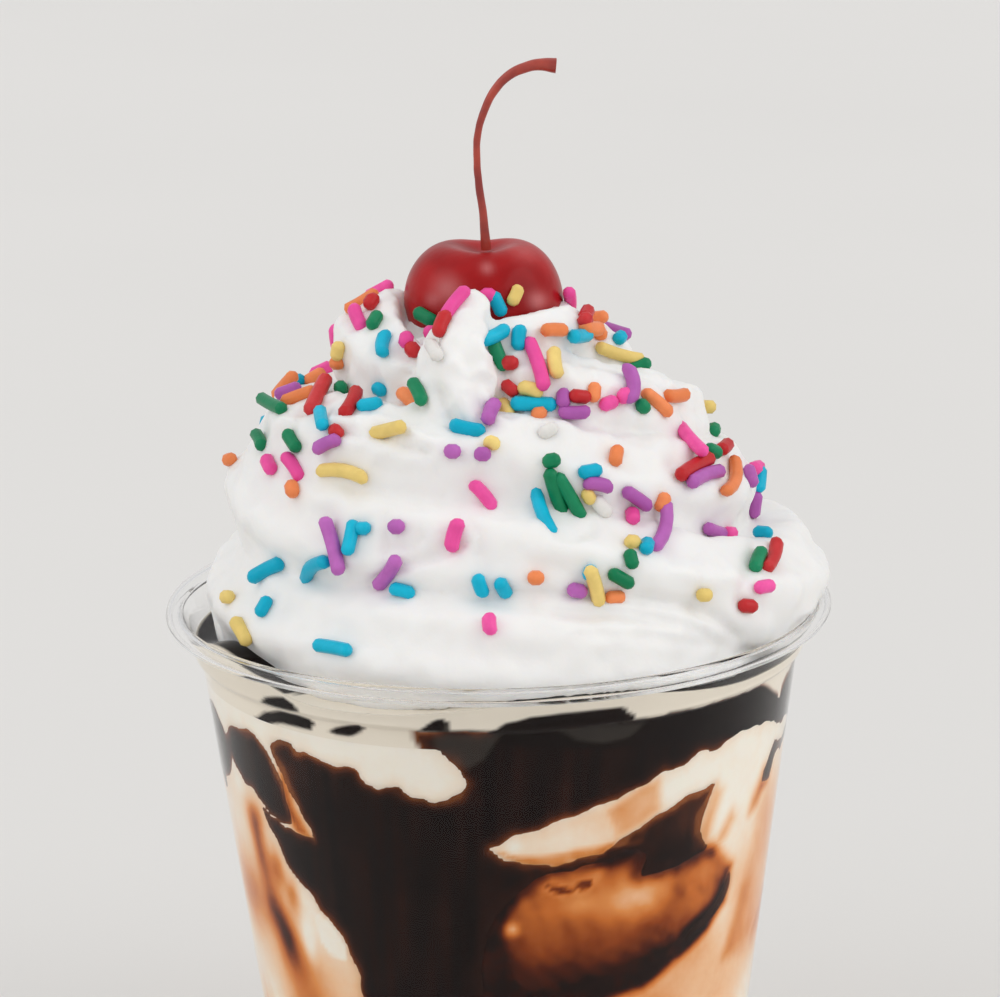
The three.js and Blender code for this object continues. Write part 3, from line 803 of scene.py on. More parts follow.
def stainAt(angle, up):
    wavyUp = up + 0.25 * wallRipple(angle, up, 13, 6)
    soft = stainSpec["soft"]
    stain = np.zeros(len(angle))
    aside = np.abs(halfTurn(angle))
    front = 1 - softStep(aside, *stainSpec["fadeOut"])
    blur = 1 + 2.5 * softStep(aside, *stainSpec["blurOut"])
    for name, (outline, strength) in stainSpec["patches"].items():
        turns = (0, syrupSpec["backTurn"]) if name in stainSpec["atBack"] else (0,)
        # small outlines have crisper edges
        edge = min(soft, 0.35 * max(abs(outline[0][1] - b) for a, b in outline) + 0.1)
        for turn in turns:
            distance = outsideDistance([(a + turn, b) for a, b in outline], angle, wavyUp)
            if turn:
                share = softStep(-distance, -2.2 * edge, edge)
            else:
                share = softStep(-distance, -edge * blur, edge * blur * 0.6) * front
            stain = np.maximum(stain, strength * share)
    # streaks that lean the way the swirl was stirred, strongest low down and round the back
    stirred = up + 3.5 * wallRipple(angle, up, 24, 24)
    streaks = wallRipple(angle, stirred, 21, 12, 0.75, 0.35)
    fine = wallRipple(angle, stirred, 22, 4.5, 0.75, 0.35)
    low = softStep(-up, *stainSpec["lowStreaks"])
    plain = np.maximum(low, 0.7 * softStep(aside, *stainSpec["sideStreaks"]))
    stain = stain + stain * (0.05 * streaks + 0.04 * fine)
    stain += plain * (0.2 + 0.26 * streaks + 0.08 * fine) * (1 - stain)
    stain += shadeAt(stainSpec["shades"], angle, up)
    for outline, strength in stainSpec["pale"].values():
        stain -= strength * softStep(-outsideDistance(outline, angle, up), -1.0, 0.5)
    # the caramel darkens towards the syrup beside it, and the plain ice cream hardly does
    seam = softStep(stainSpec["seam"] - syrupDistance(angle, up), 0, stainSpec["seam"])
    return np.clip(stain + seam * (0.08 + 0.16 * softStep(stain, 0.35, 0.6)), 0, 1)


def makeIceMaterial():
    material, nodes, links, shader = newMaterial("vanillaIceCream", {
        "Roughness": 0.45, "Specular IOR Level": 0.1, "Subsurface Weight": 0.15,
        "Subsurface Radius": (1.0, 0.7, 0.45), "Subsurface Scale": 0.002,
    })
    stain = addNode(nodes, "ShaderNodeAttribute", attribute_name="stain")
    skin = addGroup(nodes, unevenSkin, {"Scale": 220.0, "Fine Scale": 900.0, "Fine Share": 0.35})
    spread = addNode(nodes, "ShaderNodeMath", {1: 0.18, 2: -0.09}, operation="MULTIPLY_ADD")
    mottled = addNode(nodes, "ShaderNodeMath", operation="ADD")
    ramp = addRamp(nodes, [
        (0.0, colour(252, 245, 232)), (0.12, colour(251, 232, 210)), (0.3, colour(246, 202, 160)),
        (0.5, colour(230, 152, 84)), (0.66, colour(206, 115, 48)), (0.8, colour(146, 67, 24)),
        (0.9, colour(84, 31, 12)), (1.0, colour(27, 10, 7)),
    ])
    links.new(skin.outputs["Height"], spread.inputs[0])
    links.new(stain.outputs["Fac"], mottled.inputs[0])
    links.new(spread.outputs[0], mottled.inputs[1])
    links.new(mottled.outputs[0], ramp.inputs["Fac"])
    links.new(ramp.outputs["Color"], shader.inputs["Base Color"])
    addBump(nodes, links, shader, skin.outputs["Height"], 0.25, 0.0004)
    return material


def makeSyrupMaterial():
    material, nodes, links, shader = newMaterial("chocolateSyrup", {
        "Roughness": 0.2, "Specular IOR Level": 0.05,
    })
    milk = addNode(nodes, "ShaderNodeAttribute", attribute_name="milk")
    film = addNode(nodes, "ShaderNodeMix", data_type="RGBA")
    film.inputs[7].default_value = colour(244, 235, 219)
    fringe = addNode(nodes, "ShaderNodeAttribute", attribute_name="edgeDistance")
    ramp = addRamp(nodes, [
        (0.0, colour(160, 92, 50)), (0.18, colour(100, 50, 28)), (0.5, colour(52, 27, 20)),
        (1.0, colour(25, 15, 13)),
    ])
    tone = addGroup(nodes, patchyTone, {"Patch Color": colour(18, 12, 12), "Scale": 90.0, "Amount": 0.6})
    skin = addGroup(nodes, unevenSkin, {"Scale": 160.0, "Fine Scale": 700.0, "Fine Share": 0.2})
    links.new(fringe.outputs["Fac"], ramp.inputs["Fac"])
    links.new(ramp.outputs["Color"], tone.inputs["Color"])
    links.new(tone.outputs["Color"], film.inputs[6])
    links.new(milk.outputs["Fac"], film.inputs["Factor"])
    links.new(film.outputs[2], shader.inputs["Base Color"])
    addBump(nodes, links, shader, skin.outputs["Height"], 0.06, 0.0003)
    return material


def paintFilling(ice, coat):
    angle, radius, up = polarOf(pointsOf(ice))
    paintPoints(ice, "stain", stainAt(angle, up))
    angle, radius, up = polarOf(pointsOf(coat))
    fringe = np.clip(-syrupDistance(angle, up) / syrupSpec["fringe"], 0, 1)
    fringe *= 0.9 + 0.16 * ripple(angle * arcScale, 0.12 * up, 41, 3)
    fringe -= shadeAt(syrupSpec["thin"], angle, up)
    # it stays dark beside dark caramel, on the spots under the rim, and on the pool
    fringe = np.maximum(fringe, 0.6 * softStep(stainAt(angle, up), 0.6, 0.95))
    fringe = np.maximum(fringe, 1 - ledgeGap(angle, up))
    fringe[up > syrupSpec["milkFrom"]] = 1
    paintPoints(coat, "edgeDistance", fringe)
    paintPoints(coat, "milk", milkAt(angle, radius, up))


iceBody = makeIceBody()
syrupCoat = makeSyrupCoat(iceBody)
paintFilling(iceBody, syrupCoat)
smoothed(iceBody, 60)
smoothed(syrupCoat, 50)
finishPiece(iceBody, "iceCreamBody", makeIceMaterial(), "ice_cream", "ice_cream")
finishPiece(syrupCoat, "syrupCoat", makeSyrupMaterial(), "chocolate_syrup", "chocolate_syrup")
print("ice cream and syrup done")

# The whipped cream: piped rope drawn along stations of (angle, radius, up, thickness)
creamSpec = {
    "swirl": [
        (72, 33, -2.5, 6), (38, 33.6, -0.5, 8.2), (0, 34, 0.8, 9.2), (-45, 31.4, 1, 8.8), (-90, 31, 0.6, 8.8),
        (-135, 32, 1, 8.8), (-180, 33.2, 1.2, 9), (-225, 34.8, 0.8, 8.6), (-268, 37.4, 1.5, 8.3),
        (-300, 35, 3.6, 8.4), (-330, 30.6, 9, 8.4), (-360, 27.8, 12.4, 8.6), (-405, 27.8, 14, 8.6),
        (-450, 28.2, 15.2, 8.6), (-495, 26.4, 13.6, 8.2), (-540, 25.4, 12.6, 8), (-585, 25.4, 12.8, 8),
        (-630, 27.7, 14, 7.9), (-675, 24.6, 18.4, 7.9), (-720, 21.6, 23, 8), (-765, 23.6, 23.6, 7.8),
        (-810, 25, 22.6, 7.4), (-855, 21.6, 21.6, 7.2), (-900, 19.4, 20.8, 7), (-945, 19.8, 21, 6.8),
        (-990, 23, 23.8, 6.2), (-1035, 18, 28.6, 6.5), (-1080, 13, 32.4, 6.8), (-1125, 13.8, 33, 6.6),
        (-1170, 14.8, 35.2, 7.2), (-1215, 12.2, 34.2, 6.2), (-1260, 10.8, 33.2, 6), (-1305, 11, 32, 6.2),
        (-1350, 12.8, 30.6, 7),
    ],
    "dollops": [
        [
            (-13, 13.6, 42.6, 2.8), (-14, 16, 39.4, 4.4), (-15, 18.6, 35.6, 5.2), (-14, 20.6, 31.6, 4.6),
            (-11, 22, 28, 3.4),
        ],
        [(-104, 14, 34, 5), (-100, 16, 37, 4), (-98, 16.8, 38.8, 2.6)],
        [(-8, 13.2, 37.6, 3.4), (16, 12.8, 38.2, 3.4), (40, 12, 38.4, 3.4), (62, 11, 37.6, 3.6)],
        [(70, 10, 33.6, 5), (78, 10.2, 36.6, 3.8), (84, 9.4, 39, 2.4)],
        [(176, 12, 32, 5.6), (186, 11, 35, 4.4), (196, 10, 38, 2.4)],
    ],
    "heart": [(36, -7), (36, -1), (31, 6), (27, 13), (23, 19), (18.5, 25), (14, 30), (10, 34), (4, 35)],
    "lobes": 7, "lobeDepth": 0.055, "twist": 6.5, "voxel": 0.62,
}


def makeNozzle(spec):
    # the soft star that the rope is pressed through, one unit in radius
    clearSelection()
    bpy.ops.curve.primitive_bezier_circle_add(radius=1)
    nozzle = bpy.context.object
    spline = nozzle.data.splines[0]
    nozzle.data.splines.remove(spline)
    count = spec["lobes"] * 6
    spline = nozzle.data.splines.new("POLY")
    spline.points.add(count - 1)
    for i, point in enumerate(spline.points):
        turn = 2 * math.pi * i / count
        radius = 1 + spec["lobeDepth"] * math.cos(spec["lobes"] * turn)
        point.co = (radius * math.cos(turn), radius * math.sin(turn), 0, 1)
    spline.use_cyclic_u = True
    nozzle.name = "nozzle"
    return nozzle


def pipeRope(stations, nozzle, twist):
    line = [
        (onRing(angle, radius, up), thickness * mm, twist * i / len(stations))
        for i, (angle, radius, up, thickness) in enumerate(stations)
    ]
    return sweptCurve(line, 8, twist_mode="Z_UP", bevel_mode="OBJECT", bevel_object=nozzle)


def roundLump(place, size, squash=1.0):
    clearSelection()
    bpy.ops.mesh.primitive_ico_sphere_add(subdivisions=3, radius=size * mm, location=place)
    lump = bpy.context.object
    lump.scale = (1, 1, squash)
    settle(lump)
    return lump


def makeCream(spec):
    nozzle = makeNozzle(spec)
    parts = [pipeRope(spec["swirl"], nozzle, spec["twist"])]
    for dollop in spec["dollops"]:
        parts.append(pipeRope(dollop, nozzle, 0.6))
        angle, radius, up, thickness = dollop[-1]
        parts.append(roundLump(onRing(angle, radius, up), thickness))
        angle, radius, up, thickness = dollop[0]
        parts.append(roundLump(onRing(angle, radius, up), thickness))
    for angle, radius, up, thickness in (spec["swirl"][0], spec["swirl"][-1]):
        parts.append(roundLump(onRing(angle, radius, up), thickness))
    heart = [(radius * mm, rimTop + up * mm) for radius, up in spec["heart"]]
    parts.append(turnedShell("heart", heart, 48))
    cream = joined(parts, "whippedCream")
    remesh = cream.modifiers.new("oneSkin", "REMESH")
    remesh.mode = "VOXEL"
    remesh.voxel_size = spec["voxel"] * mm
    soften = cream.modifiers.new("soften", "SMOOTH")
    soften.factor = 0.5
    soften.iterations = 5
    applyModifiers(cream)
    bpy.data.objects.remove(nozzle, do_unlink=True)
    return cream


reliefSpec = {
    "layers": [(16.0, 0.5), (6.0, 0.55), (2.6, 0.3)],   # lump size and height of each
    "crags": (3.4, 0.9, 20, 30),    # size, height, and from where up they begin and are full
    # how far out the cream may reach at a height, 0 where that follows the wall
    "inCup": [(-16, 0), (-6.6, 0), (-5.9, 41.75), (-2.8, 42.45), (-1.2, 43.1), (0.2, 43.6), (1.2, 60)],
    # folds that show, as points of the photograph, then width in pixels and height
    "folds": {
        "collarRight": ([(500, 592), (560, 594), (640, 598), (690, 606), (716, 618), (735, 634)], 7, -1.0),
        "collarLeft": ([(372, 583), (392, 571), (410, 562), (432, 556), (447, 549), (462, 544)], 7, -0.9),
        "ledgeShade": ([(340, 430), (358, 434), (378, 433), (400, 444), (426, 452)], 6, -0.8),
        "ledgeLip": ([(334, 421), (356, 424), (380, 421), (404, 430), (428, 440)], 6, 0.7),
        "tailLeft": ([(430, 346), (424, 358), (414, 366), (406, 374)], 8, -0.9),
        "tailFoot": ([(438, 392), (444, 408), (458, 424), (476, 430)], 7, -0.9),
        "tailRight": ([(492, 344), (504, 362), (508, 384), (500, 402)], 8, -1.3),
        "tailLip": ([(478, 340), (489, 360), (493, 382), (486, 398)], 6, 0.7),
        "collarTop": ([(540, 603), (600, 604), (650, 607), (694, 617), (716, 630)], 5, 0.35),
        "collarFold": ([(556, 613), (610, 613), (655, 618), (704, 633)], 5, -0.35),
        "collarLow": ([(580, 634), (640, 636), (700, 643), (740, 640)], 6, -0.3),
        "lobeFold": ([(746, 520), (757, 545), (748, 580), (741, 602)], 8, -0.8),
        "roundDot": ([(385, 512), (388, 535), (386, 552)], 5, -0.4),
        "underDot": ([(394, 546), (410, 549), (421, 538)], 5, -0.4),
        "underGreen": ([(556, 534), (574, 539), (590, 533)], 7, -0.6),
        "midFold": ([(470, 520), (480, 535), (478, 552)], 6, -0.4),
        "rightFold": ([(698, 555), (706, 575), (700, 592)], 6, -0.35),
        "notch": ([(410, 312), (418, 326), (427, 335)], 8, -2.6),
    },
}


def inPicture(points):
    # right and down in the photograph of every point
    wide, high = cameraSpec["imageSize"]
    focal = cameraSpec["lens"] * wide / cameraSpec["sensor"]
    turn = np.array(camera.matrix_world.to_3x3())
    local = (points - np.array(camera.matrix_world.translation)) @ turn
    return wide / 2 - focal * local[:, 0] / local[:, 2], high / 2 + focal * local[:, 1] / local[:, 2]


def lineDistance(line, x, y):
    nearest = np.full(len(x), 1e9)
    for (x0, y0), (x1, y1) in zip(line, line[1:]):
        nearest = np.minimum(nearest, fromSegment(x, y, x0, y0, x1, y1)[0])
    return nearest


def roughenCream(cream, spec):
    points = pointsOf(cream)
    normals = np.zeros(len(points) * 3)
    cream.data.vertices.foreach_get("normal", normals)
    normals = normals.reshape(-1, 3)
    upwards = (points[:, 2] - rimTop) / mm
    cragSize, cragHeight, cragFrom, cragFull = spec["crags"]
    cragShare = softStep(upwards, cragFrom, cragFull)
    height = np.zeros(len(points))
    for row, point in enumerate(points):
        place = Vector(point) / mm
        for size, depth in spec["layers"]:
            height[row] += depth * noise.noise(place / size)
        if cragShare[row] > 0:
            # crisp little ridges where the cream was torn off
            height[row] += cragHeight * cragShare[row] * (0.25 - abs(noise.noise(place / cragSize)))
    right, down = inPicture(points)
    sight = points - np.array(camera.matrix_world.translation)
    facing = softStep(-(normals * sight).sum(axis=1) / np.linalg.norm(sight, axis=1), 0, 0.3)
    for line, width, fold in spec["folds"].values():
        height += facing * fold * np.exp(-(lineDistance(line, right, down) / width) ** 2)
    points += normals * (height * mm)[:, None]
    # inside the cup the cream stops at the wall, and it stays clear of the curled lip
    angle, radius, up = polarOf(points)
    heights, radii = zip(*spec["inCup"])
    low, high = heights[:2]
    limit = np.interp(up, heights, (wallRadius(low) + 0.15, wallRadius(high) + 0.15) + radii[2:])
    limit = np.where(up < poolTop(angle, radius) + 0.15, wallRadius(up) - 1.2, limit)
    drawIn(points, slice(None), np.minimum(1, limit / np.maximum(radius, 1e-6)))
    setPoints(cream, points)


def makeCreamMaterial():
    material, nodes, links, shader = newMaterial("whippedCream", {
        "Roughness": 0.42, "Subsurface Weight": 0.35, "Subsurface Radius": (1.0, 0.85, 0.7),
        "Subsurface Scale": 0.003,
    })
    tone = addGroup(nodes, patchyTone, {
        "Color": colour(244, 243, 241), "Patch Color": colour(238, 236, 233), "Scale": 70.0, "Amount": 0.7,
    })
    skin = addGroup(nodes, unevenSkin, {"Scale": 420.0, "Fine Scale": 1700.0, "Fine Share": 0.3})
    links.new(tone.outputs["Color"], shader.inputs["Base Color"])
    addBump(nodes, links, shader, skin.outputs["Height"], 0.25, 0.0003)
    return material


cream = makeCream(creamSpec)
roughenCream(cream, reliefSpec)
smoothed(cream, 180)
finishPiece(cream, "whippedCream", makeCreamMaterial(), "whipped_cream", "whipped_cream")
print("whipped cream done, faces", len(cream.data.polygons))

# The cherry: a flattened ball with a hollow round the stem and a shallow crease
cherrySpec = {
    "offset": (-1.2, 1.5), "up": 41.2, "radius": 10.9, "flatness": 0.9,
    "hollow": 0.26, "hollowWidth": 0.42, "crease": 0.07, "creaseWidth": 0.3,
    # painted highlights on the skin, where the lamps' reflections show, as points of the photograph, then how wide in
    # pixels and how pale
    "paintedHighlights": [
        (447, 289, 13, 0.36), (538, 301, 9, 0.5), (487, 268, 6, 0.35), (528, 246, 14, 0.28), (432, 300, 7, 0.25),
    ],
}


def makeCherry(spec):
    clearSelection()
    bpy.ops.mesh.primitive_uv_sphere_add(segments=96, ring_count=64, radius=1)
    cherry = bpy.context.object
    points = pointsOf(cherry)
    slope = np.arccos(np.clip(points[:, 2], -1, 1))
    hollow = spec["hollow"] * np.exp(-(slope / spec["hollowWidth"]) ** 2)
    crease = spec["crease"] * np.exp(-(points[:, 0] / spec["creaseWidth"]) ** 2)
    crease *= softStep(points[:, 2], 0.2, 0.9)
    size = spec["radius"] * (1 - crease) * (1 + 0.008 * ripple(points[:, 0], points[:, 2], 8, 0.9))
    points[:, 2] = size * (spec["flatness"] * points[:, 2] - hollow)
    points[:, 0] *= size
    points[:, 1] *= size
    points *= mm
    points += np.array([spec["offset"][0] * mm, spec["offset"][1] * mm, rimTop + spec["up"] * mm])
    setPoints(cherry, points)
    return cherry


def paintedHighlightAt(points, paintedHighlights):
    # painted highlights: soft pale spots round the given pixels, on the half of the cherry that faces the camera
    right, down = inPicture(points)
    near = softStep(-points[:, 1], -cherrySpec["offset"][1] * mm, 0.004)
    paintedHighlight = np.zeros(len(points))
    for x, y, wide, amount in paintedHighlights:
        paintedHighlight += amount * np.exp(-((right - x) ** 2 + (down - y) ** 2) / wide ** 2)
    return paintedHighlight * near


def makeCherryMaterial():
    material, nodes, links, shader = newMaterial("redCherry", {
        "Roughness": 0.3, "Subsurface Weight": 0.2, "Subsurface Radius": (1.0, 0.15, 0.1),
        "Subsurface Scale": 0.003, "Specular IOR Level": 0.12, "Coat Weight": 0.05, "Coat Roughness": 0.12,
    })
    tone = addGroup(nodes, patchyTone, {
        "Color": colour(170, 22, 24), "Patch Color": colour(132, 12, 16), "Scale": 110.0, "Amount": 0.8,
    })
    skin = addGroup(nodes, unevenSkin, {"Scale": 260.0, "Fine Scale": 900.0, "Fine Share": 0.3})
    # the painted highlights mix the skin colour towards pale pink
    paintedHighlight = addNode(nodes, "ShaderNodeAttribute", attribute_name="paintedHighlight")
    pale = addNode(nodes, "ShaderNodeMix", data_type="RGBA")
    pale.inputs[7].default_value = colour(222, 150, 150)
    links.new(paintedHighlight.outputs["Fac"], pale.inputs["Factor"])
    links.new(tone.outputs["Color"], pale.inputs[6])
    links.new(pale.outputs[2], shader.inputs["Base Color"])
    addBump(nodes, links, shader, skin.outputs["Height"], 0.22, 0.0004)
    return material


cherry = makeCherry(cherrySpec)
paintPoints(cherry, "paintedHighlight", paintedHighlightAt(pointsOf(cherry), cherrySpec["paintedHighlights"]))
smoothed(cherry, 180)
finishPiece(cherry, "cherryFruit", makeCherryMaterial(), "cherry", "cherry")
print("cherry done")

# The stem, through points of (x, up, thickness over its radius)
stemSpec = {
    "radius": 0.55,
    "line": [
        (-0.7, 48.2, 1.3), (-1.0, 53, 1.0), (-1.5, 57.2, 0.95), (-1.7, 60.6, 0.9), (-1.5, 64, 0.9),
        (-0.6, 67.1, 0.95), (0.8, 69.8, 1.05), (2.7, 71.8, 1.15), (5, 72.9, 1.3), (7.2, 73.3, 1.5),
        (9.2, 73.1, 1.9),
    ],
}


def makeStem(spec):
    back = cherrySpec["offset"][1] * mm
    line = [((x * mm, back, rimTop + up * mm), factor, 0) for x, up, factor in spec["line"]]
    stem = sweptCurve(line, 10, bevel_depth=spec["radius"] * mm, bevel_resolution=5)
    points = pointsOf(stem)
    for row, point in enumerate(points):
        points[row] += 0.05 * mm * np.array(noise.noise_vector(Vector(point) / mm / 1.6))
    setPoints(stem, points)
    return stem


def makeStemMaterial():
    material, nodes, links, shader = newMaterial("cherryStem", {"Roughness": 0.38, "Coat Weight": 0.15})
    tone = addGroup(nodes, patchyTone, {
        "Color": colour(176, 62, 44), "Patch Color": colour(132, 36, 30), "Scale": 260.0, "Amount": 0.9,
    })
    skin = addGroup(nodes, unevenSkin, {"Scale": 900.0, "Fine Scale": 2600.0, "Fine Share": 0.4})
    links.new(tone.outputs["Color"], shader.inputs["Base Color"])
    addBump(nodes, links, shader, skin.outputs["Height"], 0.3, 0.0002)
    return material


stem = makeStem(stemSpec)
smoothed(stem, 60)
finishPiece(stem, "cherryStem", makeStemMaterial(), "cherry_stem", "cherry_stem")
print("stem done")

# Sprinkles
sprinkleSpec = {
    "radius": 1.02, "sides": 8, "sunk": 0.24, "seed": 12, "stretch": 0.04,
    "longest": 9.5, "capPixels": 7, "slant": 0.4, "tilt": 0.35, "edgeStep": 3, "edgeSteps": 8,
    "colours": {
        "cyan": (0, 186, 220), "pink": (255, 84, 170), "purple": (190, 98, 186), "green": (10, 132, 84),
        "orange": (255, 144, 84), "yellow": (252, 220, 128), "red": (208, 42, 46), "white": (250, 247, 242),
    },
    # the ones that show: right, down, length in pixels of the photograph, lean from level and, for
    # curved ones, how far they bow to the left of the way they lean
    "shown": {
        "cyan": [(384, 347, 28, 82, 0.1), (298, 384, 16, 15), (323, 421, 26, -80), (371, 408, 26, 8),
                 (382, 388, 12, -30), (467, 431, 36, -12), (403, 590, 26, -15), (352, 539, 36, 78), (364, 529, 14, 0),
                 (314, 564, 36, 42, 0.1), (269, 572, 40, 27), (266, 608, 22, 60), (335, 648, 40, -10),
                 (480, 585, 24, -70), (504, 585, 22, -60), (497, 304, 26, -65), (491, 335, 34, 25, -0.05),
                 (518, 338, 26, 85), (577, 337, 26, 8), (618, 340, 16, 45), (533, 404, 46, -2),
                 (540, 508, 62, -72, -0.06), (589, 472, 24, 10), (590, 572, 16, 70), (645, 549, 18, 75),
                 (763, 536, 20, -5), (771, 480, 28, 85, -0.12)],
        "pink": [(358, 320, 30, -66), (308, 374, 26, 25), (407, 342, 17, 80), (455, 305, 40, 52), (488, 296, 10, 0),
                 (272, 466, 22, -65), (297, 466, 36, -57, 0.06), (484, 495, 36, -50, 0.06), (455, 534, 34, 75),
                 (489, 625, 22, -85), (538, 366, 56, -72), (606, 404, 20, 20), (623, 397, 16, 50),
                 (688, 441, 48, -48), (759, 470, 18, 20), (631, 519, 18, -80), (727, 534, 14, 0), (762, 587, 22, 10)],
        "purple": [(289, 394, 28, 20), (329, 444, 30, 25), (491, 415, 28, 68), (452, 452, 14, 0), (481, 455, 13, 0),
                   (398, 527, 14, 0), (389, 570, 40, 55), (335, 546, 60, -75, 0.03), (632, 386, 40, -85, 0.16),
                   (563, 400, 20, 88), (574, 412, 32, 0, -0.05), (702, 477, 60, 22), (748, 478, 24, -75),
                   (751, 504, 28, 82), (597, 484, 30, -10, 0.08), (636, 497, 34, -35), (664, 530, 66, 76, -0.1),
                   (577, 588, 20, -10), (712, 532, 26, -20)],
        "green": [(376, 323, 21, 60), (273, 407, 34, -27), (262, 441, 24, -65), (295, 441, 26, -57),
                  (421, 391, 30, -65, 0.06), (428, 316, 26, -30), (498, 355, 34, -68), (640, 408, 14, -45),
                  (710, 452, 20, -25), (711, 432, 11, 80), (551, 463, 18, 10), (570, 495, 54, -60),
                  (556, 492, 52, -72), (629, 560, 20, -75), (620, 577, 28, -30), (757, 562, 28, 70)],
        "orange": [(316, 380, 24, 30), (301, 399, 38, 20), (413, 398, 32, -45, 0.06), (295, 490, 18, -80),
                   (232, 462, 14, 10), (340, 364, 9, 0), (552, 329, 28, 0), (588, 328, 26, -8), (597, 335, 14, -60),
                   (538, 416, 14, 30), (592, 393, 20, 85), (655, 403, 38, -40), (674, 397, 28, 4),
                   (733, 482, 52, 74, -0.12), (615, 458, 22, 80), (660, 501, 20, 65), (614, 595, 20, 5),
                   (535, 578, 9, 0)],
        "yellow": [(284, 384, 22, 62), (304, 367, 32, 28), (341, 351, 20, 80), (345, 471, 52, -10, 0.08),
                   (391, 431, 38, 14), (492, 444, 16, -20), (508, 411, 22, -65), (230, 599, 12, 0),
                   (245, 630, 32, -60), (514, 296, 22, 65), (618, 356, 50, -16), (554, 365, 32, -82),
                   (531, 390, 26, -14), (588, 495, 16, -60), (631, 545, 14, 0), (595, 584, 42, -75),
                   (703, 594, 14, 0)],
        "red": [(319, 398, 46, 64), (373, 304, 18, 55), (414, 351, 9, -50), (354, 405, 36, 62, -0.06),
                (336, 433, 10, -50), (443, 326, 28, 68), (511, 362, 16, 0), (511, 391, 20, -40), (578, 397, 22, -6),
                (601, 316, 20, 62), (582, 321, 10, 60), (722, 449, 20, 40), (692, 468, 54, 30),
                (771, 559, 38, 68, -0.08), (746, 606, 20, -5)],
        "white": [(600, 507, 26, -50), (437, 352, 24, -60), (548, 432, 20, 30)],
    },
    "hidden": 170,
}


def modelStrand(spec):
    # one sugar strand, a ball of unit radius cut round its middle, where each copy is drawn out along X
    clearSelection()
    bpy.ops.mesh.primitive_uv_sphere_add(segments=spec["sides"], ring_count=5, radius=1,
                                         rotation=(0, math.pi / 2, 0))
    strand = bpy.context.object
    settle(strand)
    bpy.ops.object.mode_set(mode="EDIT")
    for share in (-1, -0.5, 0, 0.5, 1):
        bpy.ops.mesh.select_all(action="SELECT")
        bpy.ops.mesh.bisect(plane_co=(share * spec["stretch"], 0, 0), plane_no=(1, 0, 0))
    bpy.ops.object.mode_set(mode="OBJECT")
    points = pointsOf(strand)
    faces = [tuple(polygon.vertices) for polygon in strand.data.polygons]
    bpy.data.objects.remove(strand, do_unlink=True)
    return points, faces


strandPoints, strandFaces = modelStrand(sprinkleSpec)
trees = [BVHTree.FromObject(piece, bpy.context.evaluated_depsgraph_get()) for piece in (cream, cherry)]
draw = random.Random(sprinkleSpec["seed"])


def layStrand(store, place, normal, along, length, bend):
    spec = sprinkleSpec
    radius = spec["radius"] * mm * draw.uniform(0.93, 1.07)
    along = along.normalized()
    normal = (normal - along * normal.dot(along)).normalized()
    turn = Matrix((along, normal.cross(along), normal)).transposed()
    half = max(length, 2.3 * radius) / 2 - radius
    points = strandPoints * radius
    points[:, 0] += half * np.clip(strandPoints[:, 0] / spec["stretch"], -1, 1)
    points[:, 1] -= bend * length * (points[:, 0] / (half + radius)) ** 2
    start = len(store["points"])
    middle = place + normal * radius * (1 - 2 * spec["sunk"])
    store["points"] += [middle + turn @ Vector(point) for point in points]
    store["faces"] += [tuple(start + i for i in face) for face in strandFaces]
    store["tones"] += [draw.random()] * len(points)


def firstHit(start, direction):
    # place, normal, face and distance where a line first meets the cream or the cherry
    hits = [tree.ray_cast(start, direction) for tree in trees]
    return min(hits, key=lambda hit: 1e9 if hit[0] is None else hit[3])


def alongSight(x, y, place, normal):
    # from place to where the sight line through a pixel meets the plane that touches the cream there
    start, direction = throughPixel(x, y)
    slant = direction.dot(normal)
    if abs(slant) < sprinkleSpec["slant"]:
        normal = (normal - direction * (sprinkleSpec["slant"] + slant)).normalized()
        slant = direction.dot(normal)
    return start + direction * ((place - start).dot(normal) / slant) - place


def ontoCream(x, y):
    # a sprinkle that shows just past the edge of the cream lies on that edge
    inward = math.copysign(sprinkleSpec["edgeStep"], cameraSpec["rimPixel"][0] - x)
    for i in range(sprinkleSpec["edgeSteps"]):
        place, normal, face, distance = firstHit(*throughPixel(x, y))
        if place is not None:
            break
        x += inward
    return x, place, normal


def layShown(stores):
    spec = sprinkleSpec
    laid = []
    for name, strands in spec["shown"].items():
        for x, y, pixels, lean, *curve in strands:
            x, place, normal = ontoCream(x, y)
            if place is None:
                continue
            reach = max(1, pixels / 2 - spec["capPixels"])
            ahead = (reach * math.cos(math.radians(lean)), -reach * math.sin(math.radians(lean)))
            end = alongSight(x + ahead[0], y + ahead[1], place, normal)
            start = alongSight(x - ahead[0], y - ahead[1], place, normal)
            along = end - start
            tilt = along.normalized().dot(normal)
            if abs(tilt) > spec["tilt"]:
                along -= normal * along.dot(normal) * (1 - spec["tilt"] / abs(tilt))
            length = min(along.length + 2 * spec["radius"] * mm, spec["longest"] * mm)
            bend = curve[0] if curve else draw.uniform(-0.05, 0.05)
            layStrand(stores[name], place, normal, along, length, bend)
            laid.append(place)
    return laid


